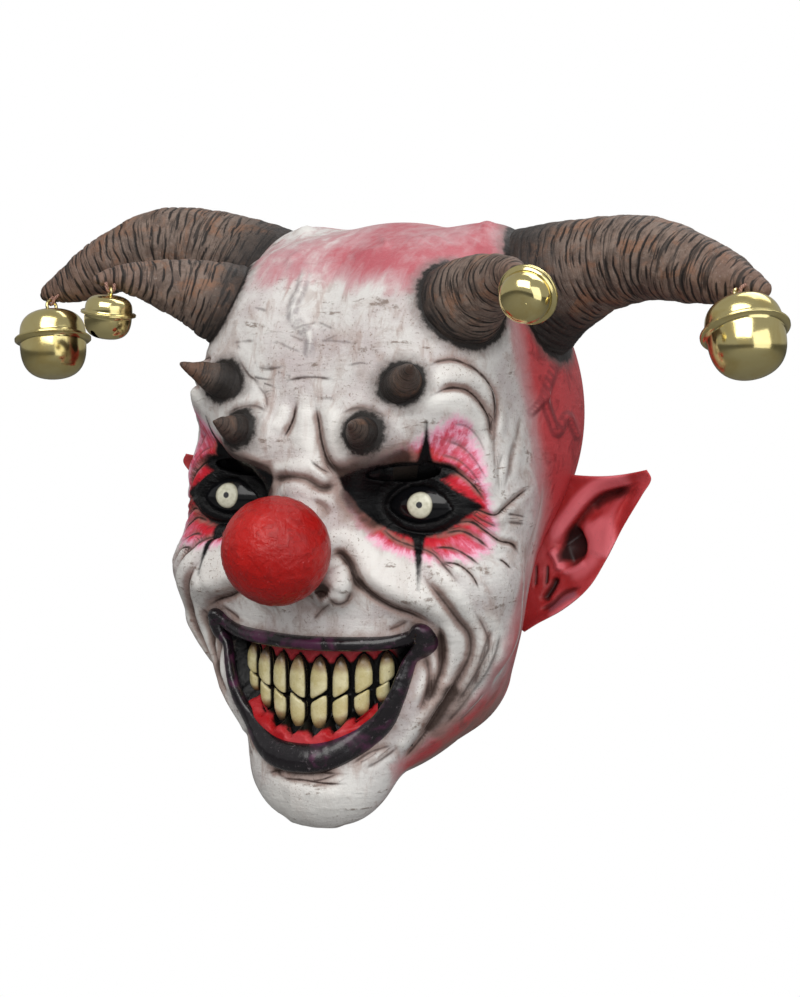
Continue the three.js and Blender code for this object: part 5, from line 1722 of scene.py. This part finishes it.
def bell_profile(size):
    """Outer wall from the top down, then the inner wall back up, as radius, height and side."""
    radius = size["radius"]
    wall = size["wall"]
    waist = size["waist"] * radius
    body = BELL_BODY * radius
    reach = radius + FLANGE["proud"]
    high = FLANGE["half_height"]
    turn = np.linspace(0.0, np.pi / 2, BELL_ARC + 1)
    full = np.sin(turn) ** BELL_FULL
    tall = np.cos(turn) ** BELL_FULL
    up = BELL_SQUASH * radius - waist - high
    down = waist - high - size["foot"] * radius
    top = [(body * r, waist + high + up * h, 0.0) for r, h in zip(full, tall)]
    rim = [(reach - inset, waist + rise * high, 0.0) for inset, rise in FLANGE_EDGE]
    foot = [(body * r, waist - high - down * h, 0.0) for r, h in zip(full[::-1], tall[::-1])]
    inner = body - wall
    deep = down + high - wall
    tip = up + high - wall
    inner_foot = [(inner * r, waist - deep * h, 1.0) for r, h in zip(full, tall)]
    inner_top = [(inner * r, waist + tip * h, 1.0) for r, h in zip(full[::-1], tall[::-1])]
    return np.array(top + rim + foot + inner_foot + inner_top[1:])


def turned_bell(name, size):
    """A hollow bell about Z at the origin, in metres."""
    profile = bell_profile(size)
    steps = len(profile) - 1
    bell, u, v = grid_sheet(name, BELL_SIDES, steps)
    radius, height, inner = profile[np.rint(v * steps).astype(int)].T
    turn = 2.0 * np.pi * u
    points = np.column_stack((radius * np.cos(turn), radius * np.sin(turn), height)) * MM
    bell.data.vertices.foreach_set("co", points.astype(np.float32).ravel())
    paint(bell, "inner", inner)
    weld(bell)
    return bell


def bells():
    material = brass_finish()
    steel = pellet_finish()
    cord = cord_finish()
    for name, kind, at, axis, slot_turn, tied_to in BELLS:
        size = BELL_SIZES[kind]
        bell = turned_bell(f"jingle_bell_{name}", size)
        slot_out(bell, size, slot_turn)
        add_loop(bell, size)
        place = bell_frame(at, axis, tied_to)
        bell.data.transform(place)
        finish_piece(bell, material, "brass", f"bell_{name}")
        pellet(name, steel)
        tie(name, cord, size, place, tied_to)


def slot_out(bell, size, slot_turn):
    """Cuts the bone-shaped slot, narrow in its middle, through the foot of a bell."""
    deselect()
    bpy.ops.mesh.primitive_circle_add(vertices=SLOT_CORNERS, fill_type="NGON")
    cutter = bpy.context.active_object
    corner = vertices_of(cutter)
    along = corner[:, 0]
    half = SLOT_MIDDLE + (SLOT_END - SLOT_MIDDLE) * ease(np.abs(along), *SLOT_FLARE)
    half = half * np.sqrt(np.maximum(1.0 - np.abs(along) ** SLOT_SQUARE, 0.0))
    outline = np.column_stack((SLOT_HALF * along, np.sign(corner[:, 1]) * half, np.zeros(len(along))))
    outline = outline * size["slot"] * MM
    outline[:, 2] = SLOT_CUTTER["low"] * size["radius"] * MM
    cutter.data.vertices.foreach_set("co", outline.astype(np.float32).ravel())
    use_only(cutter)
    bpy.ops.object.mode_set(mode="EDIT")
    bpy.ops.mesh.select_all(action="SELECT")
    bpy.ops.mesh.remove_doubles(threshold=SLOT_WELD * MM)
    rise = (0.0, 0.0, SLOT_CUTTER["rise"] * size["radius"] * MM)
    bpy.ops.mesh.extrude_region_move(TRANSFORM_OT_translate={"value": rise})
    bpy.ops.mesh.select_all(action="SELECT")
    bpy.ops.mesh.quads_convert_to_tris()
    bpy.ops.mesh.normals_make_consistent(inside=False)
    bpy.ops.object.mode_set(mode="OBJECT")
    cutter.data.transform(Matrix.Rotation(math.radians(slot_turn), 4, "Z"))
    cut_out(bell, cutter)


def loop_height(size):
    return BELL_SQUASH * size["radius"] + size["loop"] - size["wall"] / 2


def add_loop(bell, size):
    deselect()
    bpy.ops.mesh.primitive_torus_add(
        major_radius=size["loop"] * MM, minor_radius=size["wire"] * MM, **LOOP_NET)
    loop = bpy.context.active_object
    upright = Matrix.Rotation(math.pi / 2, 4, "Z") @ Matrix.Rotation(math.pi / 2, 4, "X")
    loop.data.transform(Matrix.Translation((0, 0, loop_height(size) * MM)) @ upright)
    deselect()
    loop.select_set(True)
    bell.select_set(True)
    bpy.context.view_layer.objects.active = bell
    bpy.ops.object.join()


def pellet_finish():
    m = Recipe("dull_steel", Metallic=1.0)
    grain = m.noise(700.0, 4.0)
    m.colour(m.over((0.42, 0.42, 0.43), (0.30, 0.30, 0.31), m.span(grain, 0.4, 0.65)))
    m.roughness(m.span(grain, 0.3, 0.7, 0.3, 0.5))
    return m.material


def pellet(name, material):
    low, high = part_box(f"pellet_{name}")
    deselect()
    radius = PELLET_SIZE * (high.z - low.z) / 2
    bpy.ops.mesh.primitive_uv_sphere_add(radius=radius, **PELLET_NET)
    ball = bpy.context.active_object
    ball.name = f"bell_pellet_{name}"
    lift = Vector((0.0, 0.0, (1.0 - PELLET_SIZE) * (high.z - low.z)))
    ball.data.transform(Matrix.Translation((low + high) / 2 + lift))
    finish_piece(ball, material, "pellet_steel", f"pellet_{name}")


def cord_finish():
    m = Recipe("twisted_cord", Roughness=0.85, Specular_IOR_Level=0.25)
    fibre = m.noise(1500.0, 4.0, 0.6)
    base = m.over((0.30, 0.15, 0.11), (0.48, 0.29, 0.23), m.span(fibre, 0.4, 0.65))
    base = m.over(base, (0.10, 0.05, 0.04), m.span(m.attribute("twist"), 0.55, 1.0, 0.0, 0.8))
    m.colour(base)
    m.bump(fibre, 0.3, 0.6)
    return m.material


def tie(name, material, size, place, tied_to):
    """A twisted strand from the horn, under the top of the bell's loop and back."""
    reach = size["wire"] + TIE_RADIUS + TIE_GAP
    crown = loop_height(size) + size["loop"]
    lift = np.array((0.0, 0.0, CROWN_SEAT))

    def spot(x, z):
        return np.array(place @ Vector((x * MM, 0, z * MM))) / MM + lift

    aside = spot(1, 0) - spot(0, 0)
    anchor = np.array(tied_to, float)
    route = (
        anchor + aside * reach,
        spot(reach, crown),
        spot(reach * TIE_BEND, crown - reach * TIE_BEND),
        spot(0, crown - reach),
        spot(-reach * TIE_BEND, crown - reach * TIE_BEND),
        spot(-reach, crown),
        anchor - aside * reach,
    )
    line = spline(route, TIE_STEPS + 1)
    strand, u, v = grid_sheet(f"twisted_tie_{name}", TIE_SIDES, TIE_STEPS)
    station = np.rint(v * TIE_STEPS).astype(int)
    turn = 2.0 * np.pi * u
    outwards, travel = round_line(line, station, turn)
    twist = 0.5 - 0.5 * np.cos(TIE_PLIES * turn + 2.0 * np.pi * travel[station] / TIE_RISE)
    radius = TIE_RADIUS * (TIE_PLY["high"] - TIE_PLY["sunk"] * twist ** 2)
    put_vertices(strand, line[station] + outwards * radius[:, None])
    paint(strand, "twist", twist)
    weld(strand)
    finish_piece(strand, material, "tie_cord", f"tie_{name}")


# Stage

FLOOR_BELOW = 0.62             # metres under the crown seat
FLOOR_SIZE = 300.0
LIGHTS = (
    # name, place, size, power, colour, seen in shiny pieces
    ("key", (0.25, -1.5, 1.35), 1.7, 30.0, (1.0, 0.985, 0.965), True),
    ("front", (0.7, -1.9, 0.0), 2.0, 10.0, (1.0, 0.99, 0.98), False),
    ("fill", (1.75, -0.9, 0.25), 1.8, 12.0, (0.97, 0.98, 1.0), True),
    ("rim", (0.3, 0.9, 1.3), 1.2, 10.0, (1.0, 1.0, 1.0), True),
)
LIGHT_AIM = (0, -40, -20)
WORLD_LIGHT = 0.34
WHITE = (1.0, 1.0, 1.0)


def white_to_camera(tree, surface, output, kind):
    """The plain surface lights the part, and the camera sees white in its place."""
    path = tree.nodes.new("ShaderNodeLightPath")
    white = tree.nodes.new(kind)
    mixed = tree.nodes.new("ShaderNodeMixShader")
    tree.links.new(path.outputs["Is Camera Ray"], mixed.inputs["Fac"])
    tree.links.new(surface.outputs[0], mixed.inputs[1])
    tree.links.new(white.outputs[0], mixed.inputs[2])
    white.inputs["Color"].default_value = rgba(WHITE)
    white.inputs["Strength"].default_value = 1.0
    tree.links.new(mixed.outputs[0], output.inputs["Surface"])


def set_stage():
    deselect()
    bpy.ops.mesh.primitive_plane_add(size=FLOOR_SIZE, location=(0.0, 0.0, -FLOOR_BELOW))
    floor = bpy.context.active_object
    floor.name = "floor"
    m = Recipe("pale_floor", Roughness=0.9)
    m.colour(m.over((0.2, 0.2, 0.2), (0.18, 0.18, 0.18), m.noise(0.8)))
    white_to_camera(m.tree, m.shader, m.tree.nodes["Material Output"], "ShaderNodeEmission")
    floor.data.materials.append(m.material)
    for name, place, size, power, colour, shines in LIGHTS:
        data = bpy.data.lights.new(name, "AREA")
        data.size = size
        data.energy = power
        data.color = colour
        light = bpy.data.objects.new(name, data)
        bpy.context.scene.collection.objects.link(light)
        light.visible_glossy = shines
        aim = row_point(LIGHT_AIM) - Vector(place)
        turn = aim.to_track_quat("-Z", "Y").to_matrix().to_4x4()
        light.matrix_world = Matrix.Translation(place) @ turn
    world = bpy.data.worlds.new("studio")
    bpy.context.scene.world = world
    world.use_nodes = True
    sky = world.node_tree.nodes["Background"]
    sky.inputs["Color"].default_value = rgba(WHITE)
    sky.inputs["Strength"].default_value = WORLD_LIGHT
    output = world.node_tree.nodes["World Output"]
    white_to_camera(world.node_tree, sky, output, "ShaderNodeBackground")
    bpy.context.scene.view_settings.view_transform = "Standard"


face_skin()
horns()
spikes()
ears()
nose()
eyes()
lips()
gums()
teeth()
bells()
set_stage()
